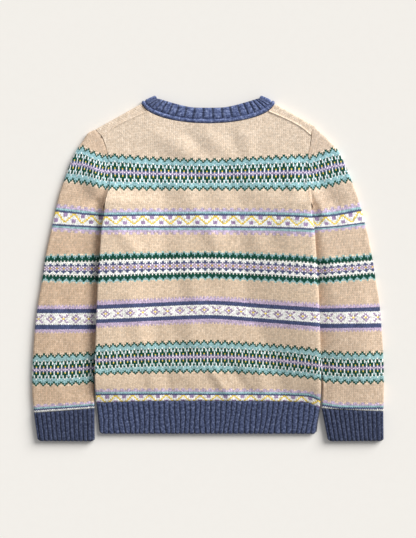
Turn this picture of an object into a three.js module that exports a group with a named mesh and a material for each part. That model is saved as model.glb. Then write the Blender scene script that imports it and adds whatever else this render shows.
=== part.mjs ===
// A child's fair isle jumper, laid flat with its back up.
// Millimetres. +X is the wearer's right, +Y runs from hem to neck, +Z is up from the surface.
// The origin is the middle of the rectangle that the jumper covers, on the surface.
// The front panel and the sleeves lie on the surface, and the back panel lies on the front.
import * as THREE from "three";

// Driving dimensions
const WALL = 2.4; // knitted wall
const TUBE_HEIGHT = 7.8; // two walls and the slack between them, where the cloth folds over
const FOLD_RADIUS = TUBE_HEIGHT / 2;
const SEAM_GAP = 0.3;
const NECK_GAP = 0.6; // the neck's arcs are chords on the panels, so this leaves 0.3 at their middles
const ARMHOLE_GAP = 0.45; // the same round the armholes
const HEM_JOIN_Y = -185; // where the panels meet the hem ribs
const HEM_BOTTOM_Y = -231.2;
const UNDERARM_Y = 92;
const SHOULDER_TIP = { x: 152.6, y: 198.3 };
const NECK_CORNER = { x: 93.1, y: 231.6 };
const CUFF_BOTTOM_Y = -241.6;
const BAND_THICKNESS = 3.5; // the neckband is two layers of rib
const BAND_HEIGHT = 7.6;
const RIB_RISE = 1.0;
const HEM_WALL = 2.2;
const HEM_RIBS = 43;
const CUFF_RIBS = 12;
const NECK_RIBS = 19;

// Slack between the front and the back, kept under 4
const SLACK_LEAST = 0.35;
const SLACK_MOST = 3.8;
const SLACK_UPPER = TUBE_HEIGHT - 2 * WALL;
const SLACK_LOWER = 1.9;
const SLACK_HEM = 0.9;
const SLACK_OVER_BAND = 1.6; // the back clears the neckband's front half, which is thicker than the front
const FRONT_NECK_Y = 169;
const SIDE_ROUNDING = 3.0;

// Half-widths of the body: its side seams below the underarm, its armhole seams above
const bodySide = [
  { y: -231.2, half: 152.2 },
  { y: -194.8, half: 155.7 },
  { y: -185.0, half: 156.9 },
  { y: -143.0, half: 157.9 },
  { y: -106.6, half: 156.9 },
  { y: -40.8, half: 154.7 },
  { y: -5.8, half: 152.9 },
  { y: 25.0, half: 150.8 },
  { y: 53.0, half: 148.8 },
  { y: 72.6, half: 145.6 },
  { y: 92.0, half: 143.4 },
  { y: 106.0, half: 140.7 },
  { y: 120.0, half: 138.4 },
  { y: 134.0, half: 138.2 },
  { y: 148.2, half: 140.2 },
  { y: 162.2, half: 142.7 },
  { y: 173.4, half: 145.0 },
  { y: 186.7, half: 148.2 },
  { y: 198.3, half: 152.6 },
  { y: 212.0, half: 159.4 },
];

// Outer edges of the sleeves, each side's own
const sleeveOuter = [
  { y: 198.3, left: 153.0, right: 153.0 },
  { y: 191.4, left: 166.0, right: 158.4 },
  { y: 182.3, left: 172.8, right: 167.0 },
  { y: 165.0, left: 185.1, right: 182.6 },
  { y: 149.6, left: 192.2, right: 190.1 },
  { y: 135.6, left: 197.5, right: 196.4 },
  { y: 107.6, left: 207.3, right: 206.8 },
  { y: 86.6, left: 212.7, right: 213.8 },
  { y: 46.0, left: 221.6, right: 224.0 },
  { y: 20.8, left: 227.1, right: 229.2 },
  { y: -25.4, left: 234.2, right: 236.5 },
  { y: -50.6, left: 238.6, right: 240.4 },
  { y: -78.6, left: 242.2, right: 242.9 },
  { y: -115.0, left: 244.9, right: 245.1 },
  { y: -150.0, left: 246.4, right: 246.4 },
  { y: -168.2, left: 246.4, right: 246.4 },
  { y: -199.0, left: 244.2, right: 245.6 },
];

// The sleeves' sections, from the armhole to the cuff. Each runs from the outer edge at one height
// to an inner point, which lies under the body from the underarm to the forearm. The inner end is
// raised where it comes down from the seam.
const sleeveSections = [
  { outerY: 198.3, innerX: 143.8, innerY: 92, raise: 8.3 },
  { outerY: 193, innerX: 146.8, innerY: 86, raise: 3 },
  { outerY: 184, innerX: 145.2, innerY: 79, raise: 0 },
  { outerY: 170, innerX: 141.5, innerY: 69, raise: 0 },
  { outerY: 150, innerX: 134.5, innerY: 57.5, raise: 0 },
  { outerY: 127, innerX: 128, innerY: 45, raise: 0 },
  { outerY: 102, innerX: 123.5, innerY: 29, raise: 0 },
  { outerY: 76, innerX: 121.5, innerY: 10, raise: 0 },
  { outerY: 50, innerX: 122.5, innerY: -10, raise: 0 },
  { outerY: 24, innerX: 126, innerY: -30, raise: 0 },
  { outerY: -3, innerX: 130, innerY: -50, raise: 0 },
  { outerY: -30, innerX: 134.5, innerY: -70, raise: 0 },
  { outerY: -57, innerX: 139.5, innerY: -90, raise: 0 },
  { outerY: -84, innerX: 145, innerY: -110, raise: 0 },
  { outerY: -112, innerX: 151.5, innerY: -130, raise: 0 },
  { outerY: -140, innerX: 159.4, innerY: -149, raise: 0 },
  { outerY: -168, innerX: 159.8, innerY: -169, raise: 0 },
  { outerY: -199, innerX: 159.2, innerY: -192, raise: 0 },
];

// How far the body's side is lifted by the sleeve under it
const sideLift = [
  { y: -190, rise: 0 },
  { y: -152, rise: 8.3 },
  { y: 92, rise: 8.3 },
  { y: 100, rise: 6.2 },
  { y: 110, rise: 3.4 },
  { y: 120, rise: 1.4 },
  { y: 132, rise: 0.3 },
  { y: 142, rise: 0 },
];
const LIFT_RAMP = 40; // the cloth climbs to its full lift over this width
const LIFT_AHEAD = 3; // and is there this far before the sleeve's edge
const TUCK_TOP_Y = 10; // above here the ramp runs straight up past the underarm

const cuffs = {
  left: { outerBottom: 238.8, innerBottom: 158.8, name: "cuff_left", sign: -1 },
  right: { outerBottom: 246.0, innerBottom: 168.0, name: "cuff_right", sign: 1 },
};
const cuffJoin = sleeveSections[sleeveSections.length - 1];

// Neckline: the linked edge and the free edge of the neckband, from the middle out to the fold
const neckBack = [
  { linkX: 0, linkY: 203.9, freeX: 0, freeY: 225.6 },
  { linkX: 27.2, linkY: 205.3, freeX: 23.5, freeY: 226.4 },
  { linkX: 51.2, linkY: 209.0, freeX: 43.3, freeY: 230.7 },
  { linkX: 70.6, linkY: 214.6, freeX: 58.0, freeY: 234.9 },
  { linkX: 85.0, linkY: 221.9, freeX: 66.8, freeY: 237.6 },
  { linkX: 92.4, linkY: 229.5, freeX: 71.4, freeY: 238.4 },
];
const neckFront = [
  { linkX: 0, linkY: FRONT_NECK_Y, freeX: 0, freeY: 191.0 },
  { linkX: 35.0, linkY: 171.5, freeX: 26.0, freeY: 192.5 },
  { linkX: 62.0, linkY: 180.0, freeX: 47.0, freeY: 198.0 },
  { linkX: 79.0, linkY: 194.0, freeX: 60.0, freeY: 208.0 },
  { linkX: 89.0, linkY: 212.0, freeX: 68.0, freeY: 222.0 },
  { linkX: 92.4, linkY: 229.5, freeX: 71.4, freeY: 238.4 },
];

// Shoulder seam as it lies on the back, from the neck to the armhole
const shoulderSeam = [
  { across: 0.54, x: 84.2, y: 220.6 },
  { across: 0.6, x: 91.6, y: 217.6 },
  { across: 0.66, x: 100.1, y: 214.0 },
  { across: 0.78, x: 117.6, y: 205.9 },
  { across: 0.88, x: 131.6, y: 197.9 },
  { across: 1, x: 145.6, y: 186.7 },
];

// Soft folds on top, from one end to the other, with half-widths and heights (below 0 is a trough)
const backFolds = [
  { x1: -52, y1: 188, x2: 3, y2: 164, width: 13, depth: -1.5 },
  { x1: -40, y1: 170, x2: -12, y2: 158, width: 12, depth: 0.8 },
  { x1: 47, y1: 196, x2: 46, y2: 164, width: 12, depth: -1.2 },
  { x1: 4, y1: 196, x2: 22, y2: 186, width: 14, depth: 0.7 },
  { x1: -128, y1: 112, x2: -98, y2: 84, width: 12, depth: 1.2 },
  { x1: -122, y1: 84, x2: -84, y2: 70, width: 10, depth: -1.1 },
  { x1: -14, y1: 106, x2: 12, y2: 86, width: 15, depth: 0.9 },
  { x1: 72, y1: 48, x2: 96, y2: 28, width: 15, depth: 1.0 },
  { x1: 126, y1: 106, x2: 96, y2: 84, width: 11, depth: -1.0 },
  { x1: -108, y1: -18, x2: -84, y2: -30, width: 15, depth: -1.1 },
  { x1: 22, y1: -26, x2: 46, y2: -38, width: 14, depth: 1.0 },
  { x1: -100, y1: -82, x2: -82, y2: -92, width: 12, depth: -1.0 },
  { x1: -68, y1: -84, x2: -50, y2: -96, width: 12, depth: 1.1 },
  { x1: 54, y1: -68, x2: 66, y2: -84, width: 13, depth: -1.0 },
  { x1: -80, y1: -156, x2: -68, y2: -174, width: 11, depth: 1.1 },
  { x1: -56, y1: -150, x2: -48, y2: -172, width: 10, depth: -0.9 },
  { x1: 22, y1: -148, x2: 46, y2: -172, width: 11, depth: 1.2 },
  { x1: 82, y1: -154, x2: 92, y2: -174, width: 11, depth: 1.0 },
];
const sleeveFolds = {
  left: [
    { x1: -160, y1: 102, x2: -151, y2: 84, width: 9, depth: -2.2 },
    { x1: -172, y1: 112, x2: -158, y2: 114, width: 7, depth: 0.9 },
    { x1: -204, y1: 66, x2: -178, y2: 82, width: 12, depth: 0.8 },
    { x1: -212, y1: 8, x2: -180, y2: 26, width: 12, depth: -1.1 },
    { x1: -224, y1: -32, x2: -186, y2: -24, width: 13, depth: 0.7 },
    { x1: -226, y1: -84, x2: -196, y2: -74, width: 12, depth: -1.0 },
    { x1: -216, y1: -150, x2: -202, y2: -182, width: 10, depth: 0.8 },
  ],
  right: [
    { x1: 158, y1: 100, x2: 152, y2: 84, width: 9, depth: -2.2 },
    { x1: 172, y1: 108, x2: 158, y2: 112, width: 7, depth: 0.9 },
    { x1: 206, y1: 74, x2: 176, y2: 84, width: 12, depth: 0.8 },
    { x1: 214, y1: 26, x2: 182, y2: 14, width: 12, depth: -1.0 },
    { x1: 226, y1: -30, x2: 190, y2: -44, width: 13, depth: 0.7 },
    { x1: 228, y1: -96, x2: 196, y2: -88, width: 12, depth: -1.0 },
    { x1: 206, y1: -148, x2: 212, y2: -184, width: 10, depth: 0.8 },
  ],
};
const SLEEVE_FOLD_LOW = -2.5;
const SLEEVE_FOLD_HIGH = 0.9;

// Where the grids' columns lie across half a panel, closer together at the neck, ramp and side
const PANEL_COLUMNS = [
  0, 0.09, 0.18, 0.27, 0.35, 0.42, 0.46, 0.475, 0.505, 0.54, 0.6, 0.67, 0.74, 0.8, 0.85, 0.9, 0.95, 0.985, 1,
];
// Heights of the rows that both panels share, up to the underarm
const SHARED_ROWS = [-184.85, -172, -161, -150, -132, -106, -79, -52, -25, 2, 28, 50, 66, 80, 92];
const UPPER_ROWS = [0.14, 0.3, 0.47, 0.64, 0.82, 1]; // shares of the way from there to the top edge
// Shares of the front's way over the shoulder: five round the fold and two on the flap
const FLAP_ROWS = [0.1, 0.2, 0.3, 0.4, 0.48, 0.72, 1];
const NECK_SHARE = 0.46; // of the front's columns end at the neck, on each side
const CORNER_SHARE = 0.6; // and up to here at the neck's corner
const SLEEVE_ACROSS = { outer: 8, inner: 3 }; // points on each flat of a section, between its round folds
const FOLD_STEPS = { outer: 4, inner: 3 };
const HEM_INNER_COLUMNS = 24;

const knit = new THREE.MeshStandardMaterial({ color: 0xd8bf9f, roughness: 0.95, metalness: 0 });
const rib = new THREE.MeshStandardMaterial({ color: 0x4a5680, roughness: 0.95, metalness: 0 });

const lerp = THREE.MathUtils.lerp;
const clamp = THREE.MathUtils.clamp;
const smoothstep = (x, low, high) => THREE.MathUtils.smoothstep(x, low, high);

// Smooth curve through one column of a table, against another column that only rises or only falls
function along(rows, key, column, at) {
  const rising = rows[rows.length - 1][key] > rows[0][key];
  const list = rising ? rows : [...rows].reverse();
  const last = list.length - 1;
  const x = clamp(at, list[0][key], list[last][key]);
  let i = 0;
  while (i < last - 1 && x > list[i + 1][key]) i += 1;
  const slope = (k) => {
    const a = list[Math.max(k, 0)];
    const b = list[Math.min(k + 1, last)];
    return b === a ? 0 : (b[column] - a[column]) / (b[key] - a[key]);
  };
  const tangent = (k) => {
    if (k === 0) return slope(0);
    if (k === last) return slope(last - 1);
    const before = slope(k - 1);
    const after = slope(k);
    return before * after <= 0 ? 0 : (2 * before * after) / (before + after);
  };
  const width = list[i + 1][key] - list[i][key];
  const t = (x - list[i][key]) / width;
  const a = list[i][column];
  const b = list[i + 1][column];
  const ease = t * t * (3 - 2 * t);
  const leave = t * (1 - t) * (1 - t) * width * tangent(i);
  const arrive = t * t * (t - 1) * width * tangent(i + 1);
  return lerp(a, b, ease) + leave + arrive;
}

const bodyHalf = (y) => along(bodySide, "y", "half", y);

// Height of the soft folds at a point: a round-ended ridge or trough for each row
function foldHeight(folds, x, y) {
  let height = 0;
  for (const f of folds) {
    const dx = f.x2 - f.x1;
    const dy = f.y2 - f.y1;
    const t = clamp(((x - f.x1) * dx + (y - f.y1) * dy) / (dx * dx + dy * dy), 0, 1);
    const away = Math.hypot(x - f.x1 - t * dx, y - f.y1 - t * dy) / f.width;
    height += f.depth * Math.exp(-away * away);
  }
  return height;
}

// Underside of the front panel: on the surface, and up over the sleeves at the sides
function lift(x, y) {
  const rise = along(sideLift, "y", "rise", y);
  const full = along(sleeveSections, "innerY", "innerX", Math.min(y, TUCK_TOP_Y)) - LIFT_AHEAD;
  return rise * smoothstep(Math.abs(x), full - LIFT_RAMP, full);
}

// Slack between the top of the front panel and the underside of the back panel
function slack(x, y) {
  const below = lerp(SLACK_HEM, SLACK_LOWER, smoothstep(y, HEM_JOIN_Y, HEM_JOIN_Y + 40));
  const base = lerp(below, SLACK_UPPER, smoothstep(y, 36, UNDERARM_Y - 4));
  const edge = smoothstep(bodyHalf(y) - Math.abs(x), 0, 14);
  const shoulder = lerp(1, 0.4, smoothstep(y, 180, 204));
  const folds = foldHeight(backFolds, x, y) * edge * shoulder;
  return clamp(base + folds, y > FRONT_NECK_Y - 20 ? SLACK_OVER_BAND : SLACK_LEAST, SLACK_MOST);
}

// Triangles between two lines of points, from the first's start to its end
function zip(first, second, turned, triangles) {
  let i = 0;
  let j = 0;
  while (i < first.length - 1 || j < second.length - 1) {
    const nextFirst = (i + 1) / (first.length - 1);
    const nextSecond = (j + 1) / (second.length - 1);
    const step = j === second.length - 1 || (i < first.length - 1 && nextFirst <= nextSecond);
    const corner = step
      ? [first[i], first[i + 1], second[j]]
      : [first[i], second[j + 1], second[j]];
    if (step) i += 1;
    else j += 1;
    triangles.push(turned ? [corner[0], corner[2], corner[1]] : corner);
  }
}

// One closed wall from a grid of outer points and a grid of inner points.
// A ring joins each row's end to its start. The two grids may differ in rows and columns.
function wall(name, outer, inner, ring, material) {
  const points = [];
  const indexed = (grid) =>
    grid.map((row) => {
      const ids = row.map((p) => points.push(p) - 1);
      return ring ? [...ids, ids[0]] : ids;
    });
  const out = indexed(outer);
  const back = indexed(inner);
  const triangles = [];
  const skin = (grid, turned) => {
    for (let i = 0; i + 1 < grid.length; i += 1) zip(grid[i + 1], grid[i], turned, triangles);
  };
  skin(out, true);
  skin(back, false);
  zip(out[0], back[0], true, triangles);
  zip(out[out.length - 1], back[back.length - 1], false, triangles);
  if (!ring) {
    const column = (grid, at) => grid.map((row) => row.at(at));
    zip(column(out, 0), column(back, 0), false, triangles);
    zip(column(out, -1), column(back, -1), true, triangles);
  }
  return closed(name, points, triangles, material);
}

// A named mesh from points and triangles, with its faces turned outwards
function closed(name, points, triangles, material) {
  let volume = 0;
  for (const [a, b, c] of triangles)
    volume += points[a].dot(new THREE.Vector3().crossVectors(points[b], points[c]));
  const turned = volume < 0 ? triangles.map(([a, b, c]) => [a, c, b]) : triangles;
  const geometry = new THREE.BufferGeometry();
  geometry.setFromPoints(points);
  geometry.setIndex(turned.flat());
  geometry.computeVertexNormals();
  const mesh = new THREE.Mesh(geometry, material);
  mesh.name = name;
  return mesh;
}

// The columns' places over a whole panel, left to right: -1 to 1
const panelColumns = [...PANEL_COLUMNS.slice(1).map((c) => -c).reverse(), ...PANEL_COLUMNS];

// How round the side seam's edge is: not at all along the armhole
const roundness = (y) => 1 - smoothstep(y, UNDERARM_Y - 14, UNDERARM_Y + 4);

// How far a panel's outer face has bent towards the side seam at a point
function sideBend(x, y) {
  const inside = clamp((bodyHalf(y) - Math.abs(x)) / SIDE_ROUNDING, 0, 1);
  return SIDE_ROUNDING * roundness(y) * (1 - Math.sqrt(1 - (1 - inside) * (1 - inside)));
}

// The neck's linked and free edges as curves from the middle to the fold
function neckCurve(table, edge) {
  return new THREE.CatmullRomCurve3(table.map((p) => new THREE.Vector3(p[edge + "X"], p[edge + "Y"], 0)));
}
const neck = {
  back: { link: neckCurve(neckBack, "link"), free: neckCurve(neckBack, "free") },
  front: { link: neckCurve(neckFront, "link"), free: neckCurve(neckFront, "free") },
};
const SEAM_AT_NECK = 0.8; // where the shoulder seam meets the linked edge, as a share of the curve

// A panel's edge along the neck: the linked edge, moved out by the gap
function neckEdge(curve, share) {
  const at = curve.getPoint(share);
  const run = curve.getTangent(share);
  const out = share < 1e-6 ? new THREE.Vector2(0, -1) : new THREE.Vector2(run.y, -run.x).normalize();
  return { x: at.x + out.x * NECK_GAP, y: at.y + out.y * NECK_GAP };
}

// Top edge of the back panel: along the neck, then along the shoulder seam
function backTop(across) {
  const seamStart = shoulderSeam[0].across;
  if (across < seamStart) return neckEdge(neck.back.link, (SEAM_AT_NECK * across) / seamStart);
  return {
    x: along(shoulderSeam, "across", "x", across),
    y: along(shoulderSeam, "across", "y", across),
  };
}

// A place on a panel's cut: a share of the way across and up to the top edge
function onPanel(across, top, up, level) {
  const last = SHARED_ROWS[SHARED_ROWS.length - 1];
  const y = level ?? lerp(last, top.y, up);
  const share = lerp(across, top.x / bodyHalf(top.y), up);
  const half = bodyHalf(y) - (ARMHOLE_GAP / 2) * (1 - roundness(y));
  return { x: Math.min(share, 1) * half, y };
}

// Outer and inner points of a panel with its side seam, a gap half-way between the two walls
function panelPair(x, y, outerZ, innerZ, seamZ, isEdge) {
  const round = isEdge ? roundness(y) : 0;
  const shrink = 1 - (WALL * roundness(y)) / bodyHalf(y);
  return {
    outer: new THREE.Vector3(x, y, lerp(outerZ, seamZ, round)),
    inner: new THREE.Vector3(x * shrink, y, lerp(innerZ, seamZ, round)),
  };
}

// A whole panel from what one place on it gives: rows of outer points and rows of inner points
function panelWall(name, rowCount, pairAt) {
  const outer = [];
  const inner = [];
  for (let i = 0; i < rowCount; i += 1) {
    const pairs = panelColumns.map((column) => pairAt(i, Math.sign(column) || 1, Math.abs(column)));
    outer.push(pairs.map((p) => p.outer));
    inner.push(pairs.map((p) => p.inner));
  }
  return wall(name, outer, inner, false, knit);
}

function makeBack() {
  const shared = SHARED_ROWS.length;
  return panelWall("back", shared + UPPER_ROWS.length, (i, side, across) => {
    const up = i < shared ? 0 : UPPER_ROWS[i - shared];
    const place = onPanel(across, backTop(across), up, SHARED_ROWS[i]);
    const x = side * place.x;
    const y = place.y;
    const under = lift(x, y) + WALL + slack(x, y);
    const seam = lift(x, y) + WALL + slack(x, y) / 2 + SEAM_GAP / 2;
    return panelPair(x, y, under + WALL - sideBend(x, y), under, seam, across === 1);
  });
}

// The shoulder's fold: the front panel rolls over this line and lies on top beyond it
const foldRun = new THREE.Vector2(SHOULDER_TIP.x - NECK_CORNER.x, SHOULDER_TIP.y - NECK_CORNER.y).normalize();
const foldOut = new THREE.Vector2(-foldRun.y, foldRun.x);
const ROLL_RADIUS = FOLD_RADIUS - WALL / 2;
const ROLL_LENGTH = Math.PI * ROLL_RADIUS;
const pastRoll = ({ x, y }) => (x - NECK_CORNER.x) * foldOut.x + (y - NECK_CORNER.y) * foldOut.y + FOLD_RADIUS;

// Place on the front's flat cut of a point that lies on top, past the shoulder's fold
function unfold(point) {
  const move = ROLL_LENGTH - 2 * pastRoll(point);
  return { x: point.x + foldOut.x * move, y: point.y + foldOut.y * move };
}

// Outer and inner points of the front where it rolls over the shoulder, on the half with x above 0
function foldOver(place, side) {
  const past = pastRoll(place);
  const turn = Math.min(past / ROLL_RADIUS, Math.PI);
  const beyond = Math.max(past - ROLL_LENGTH, 0);
  const at = (radius) => {
    const move = radius * Math.sin(turn) - beyond - past;
    const z = FOLD_RADIUS - radius * Math.cos(turn);
    return new THREE.Vector3(side * (place.x + foldOut.x * move), place.y + foldOut.y * move, z);
  };
  return { outer: at(FOLD_RADIUS), inner: at(FOLD_RADIUS - WALL) };
}

// Top edge of the front's flat cut: the neck, its corner over the fold, then the shoulder seam
function frontTop(across) {
  if (across <= NECK_SHARE) return neckEdge(neck.front.link, across / NECK_SHARE);
  const corner = (across - NECK_SHARE) / (CORNER_SHARE - NECK_SHARE);
  if (corner < 1) return unfold(neckEdge(neck.back.link, lerp(1, SEAM_AT_NECK, corner)));
  const seam = lerp(shoulderSeam[0].across, 1, (across - CORNER_SHARE) / (1 - CORNER_SHARE));
  const x = along(shoulderSeam, "across", "x", seam) + SEAM_GAP * foldOut.x;
  const y = along(shoulderSeam, "across", "y", seam) + SEAM_GAP * foldOut.y;
  return unfold({ x, y });
}

// Share of a column's upper part that lies before the shoulder's fold
function shareBeforeFold(across, top) {
  let low = 0;
  let high = 1;
  if (pastRoll(top) <= 0) return 0.9;
  for (let step = 0; step < 24; step += 1) {
    const middle = (low + high) / 2;
    if (pastRoll(onPanel(across, top, middle)) < 0) low = middle;
    else high = middle;
  }
  return low;
}

function makeFront() {
  const shared = SHARED_ROWS.length;
  const flat = shared + UPPER_ROWS.length;
  return panelWall("front", flat + FLAP_ROWS.length, (i, side, across) => {
    const top = frontTop(across);
    const start = shareBeforeFold(across, top);
    let up = 0;
    if (i >= shared) up = start * UPPER_ROWS[i - shared];
    if (i >= flat) up = lerp(start, 1, FLAP_ROWS[i - flat]);
    const place = onPanel(across, top, up, SHARED_ROWS[i]);
    if (i >= shared && pastRoll(place) > 0) return foldOver(place, side);
    const x = side * place.x;
    const y = place.y;
    const under = lift(x, y);
    const seam = under + WALL + slack(x, y) / 2 - SEAM_GAP / 2;
    return panelPair(x, y, under + sideBend(x, y), under + WALL, seam, across === 1);
  });
}

// Heights of one rib across its pitch: a valley and a flat crown
const ribProfile = [
  { at: 0, rise: 0 },
  { at: 0.32, rise: 1 },
  { at: 0.68, rise: 1 },
];

function makeHemBack() {
  const places = [-1];
  const rises = [0];
  for (let n = 0; n < HEM_RIBS; n += 1)
    for (const p of ribProfile) {
      if (n === 0 && p.at === 0) continue;
      places.push(-1 + (2 * (n + p.at)) / HEM_RIBS);
      rises.push(p.rise);
    }
  places.push(1);
  rises.push(0);
  const outer = [HEM_JOIN_Y - SEAM_GAP / 2, (HEM_JOIN_Y + HEM_BOTTOM_Y) / 2, HEM_BOTTOM_Y].map((y) =>
    places.map((place, i) => {
      const x = place * bodyHalf(y);
      const end = Math.abs(place) === 1;
      const under = lift(x, y) + HEM_WALL + slack(x, y);
      const crown = under + HEM_WALL - sideBend(x, y) + RIB_RISE * rises[i];
      return new THREE.Vector3(x, y, end ? under - slack(x, y) / 2 + SEAM_GAP / 2 : crown);
    }),
  );
  return wall("hem_rib_back", outer, hemPlain(1, true), false, rib);
}

// A plain face of the hem: the hidden sides of both ribs, and the underside that lies on the surface
function hemPlain(side, hidden) {
  return [HEM_JOIN_Y - SEAM_GAP / 2, (HEM_JOIN_Y + HEM_BOTTOM_Y) / 2, HEM_BOTTOM_Y].map((y) => {
    const row = [];
    for (let i = 0; i <= HEM_INNER_COLUMNS; i += 1) {
      const turn = (i / HEM_INNER_COLUMNS - 0.5) * Math.PI;
      const place = Math.sin(turn) * 0.35 + (2 * i / HEM_INNER_COLUMNS - 1) * 0.65;
      const end = i === 0 || i === HEM_INNER_COLUMNS;
      const half = bodyHalf(y) - (hidden ? HEM_WALL : 0);
      const x = place * half;
      const wide = place * bodyHalf(y);
      const seam = lift(wide, y) + HEM_WALL + slack(wide, y) / 2 + (side * SEAM_GAP) / 2;
      const face = lift(x, y) + (side > 0 ? HEM_WALL + slack(x, y) : hidden ? HEM_WALL : sideBend(x, y));
      row.push(new THREE.Vector3(x, y, end ? seam : face));
    }
    return row;
  });
}

const makeHemFront = () => wall("hem_rib_front", hemPlain(-1, false), hemPlain(-1, true), false, rib);

// Section of a flattened tube of a given width: across and up, for the outer or the inner face
function flatTube(width, radius, across, steps) {
  const section = [];
  for (let i = 0; i <= steps; i += 1) {
    const turn = (i / steps - 0.5) * Math.PI;
    section.push({ a: FOLD_RADIUS - radius * Math.cos(turn), up: radius * Math.sin(turn), face: 0 });
  }
  for (let i = 1; i <= across; i += 1)
    section.push({ a: lerp(FOLD_RADIUS, width - FOLD_RADIUS, i / (across + 1)), up: radius, face: 1 });
  for (let i = 0; i <= steps; i += 1) {
    const turn = (0.5 - i / steps) * Math.PI;
    section.push({ a: width - FOLD_RADIUS + radius * Math.cos(turn), up: radius * Math.sin(turn), face: 0 });
  }
  for (let i = across; i >= 1; i -= 1)
    section.push({ a: lerp(FOLD_RADIUS, width - FOLD_RADIUS, i / (across + 1)), up: -radius, face: 0 });
  return section;
}

const ARMHOLE_CURVE_REACH = 2.2; // sections over which the armhole's curve straightens out

function makeSleeve(side) {
  const sign = cuffs[side].sign;
  const first = sleeveSections[0];
  const outer = [];
  const inner = [];
  sleeveSections.forEach(({ outerY, innerX, innerY, raise }, i) => {
    const outerX = along(sleeveOuter, "y", side, outerY);
    const width = Math.hypot(outerX - innerX, outerY - innerY);
    const fade = Math.exp(-((i / ARMHOLE_CURVE_REACH) ** 2));
    const place = ({ a, up, face }) => {
      const t = clamp(a / width, 0, 1);
      const armholeY = lerp(first.outerY, first.innerY, t);
      const chordX = lerp(sleeveOuter[0][side], first.innerX, t);
      const x = lerp(outerX, innerX, t) + (bodyHalf(armholeY) + ARMHOLE_GAP / 2 - chordX) * fade;
      const y = lerp(outerY, innerY, t);
      const shown = face * smoothstep(x - bodyHalf(y), -2, 10) * (i === 0 ? 0 : 1);
      const soft = clamp(foldHeight(sleeveFolds[side], sign * x, y), SLEEVE_FOLD_LOW, SLEEVE_FOLD_HIGH);
      const raised = i === 0 ? lift(bodyHalf(armholeY), armholeY) : raise * smoothstep(t, 0.75, 1);
      return new THREE.Vector3(sign * x, y, FOLD_RADIUS + up + shown * soft + raised);
    };
    outer.push(flatTube(width, FOLD_RADIUS, SLEEVE_ACROSS.outer, FOLD_STEPS.outer).map(place));
    inner.push(flatTube(width, FOLD_RADIUS - WALL, SLEEVE_ACROSS.inner, FOLD_STEPS.inner).map(place));
  });
  return wall("sleeve_" + side, outer, inner, true, knit);
}

// A cuff: a flattened tube, ribbed on top and plain where it rests
function makeCuff(side) {
  const cuff = cuffs[side];
  const ribbed = [];
  const plain = [];
  for (const down of [0, 0.5, 1]) {
    const outerX = lerp(along(sleeveOuter, "y", side, cuffJoin.outerY), cuff.outerBottom, down);
    const innerX = lerp(cuffJoin.innerX, cuff.innerBottom, down);
    const outerY = lerp(cuffJoin.outerY - SEAM_GAP, CUFF_BOTTOM_Y + 0.4, down);
    const innerY = lerp(cuffJoin.innerY - SEAM_GAP, CUFF_BOTTOM_Y, down);
    const width = Math.hypot(outerX - innerX, outerY - innerY);
    const place = ({ a, up, rise = 0 }) => {
      const t = a / width;
      const z = FOLD_RADIUS + up + rise * RIB_RISE;
      return new THREE.Vector3(cuff.sign * lerp(outerX, innerX, t), lerp(outerY, innerY, t), z);
    };
    const section = flatTube(width, FOLD_RADIUS, 1, FOLD_STEPS.outer);
    const crown = section.filter((p) => p.face === 1)[0];
    const ribs = [];
    for (let n = 0; n < CUFF_RIBS; n += 1)
      for (const p of ribProfile) {
        if (n === 0 && p.at === 0) continue;
        const a = lerp(FOLD_RADIUS, width - FOLD_RADIUS, (n + p.at) / CUFF_RIBS);
        ribs.push({ a, up: FOLD_RADIUS, rise: p.rise });
      }
    const at = section.indexOf(crown);
    ribbed.push([...section.slice(0, at), ...ribs, ...section.slice(at + 1)].map(place));
    plain.push(flatTube(width, FOLD_RADIUS - HEM_WALL, SLEEVE_ACROSS.inner, FOLD_STEPS.inner).map(place));
  }
  return wall(cuff.name, ribbed, plain, true, rib);
}

// Across the neckband's strip: the linked edge's smooth roll, the ribs, then the plain hidden side
const bandSection = [
  { at: 0, side: 0.2, roll: 0, rib: 0 },
  { at: 0.06, side: 0.5, roll: 0.7, rib: 0 },
  { at: 0.2, side: 0.5, roll: 0.7, rib: 0 },
  { at: 0.27, side: 0.5, roll: 0, rib: 0.3 },
  { at: 0.93, side: 0.5, roll: 0, rib: 0.8 },
  { at: 1, side: 0.2, roll: 0, rib: 0.2 },
  { at: 1, side: -0.3, roll: 0, rib: 0 },
  { at: 0.9, side: -0.5, roll: 0, rib: 0 },
  { at: 0.08, side: -0.5, roll: 0, rib: 0 },
  { at: 0, side: -0.3, roll: 0, rib: 0 },
];
const NECK_TURN_STEPS = 5;

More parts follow.
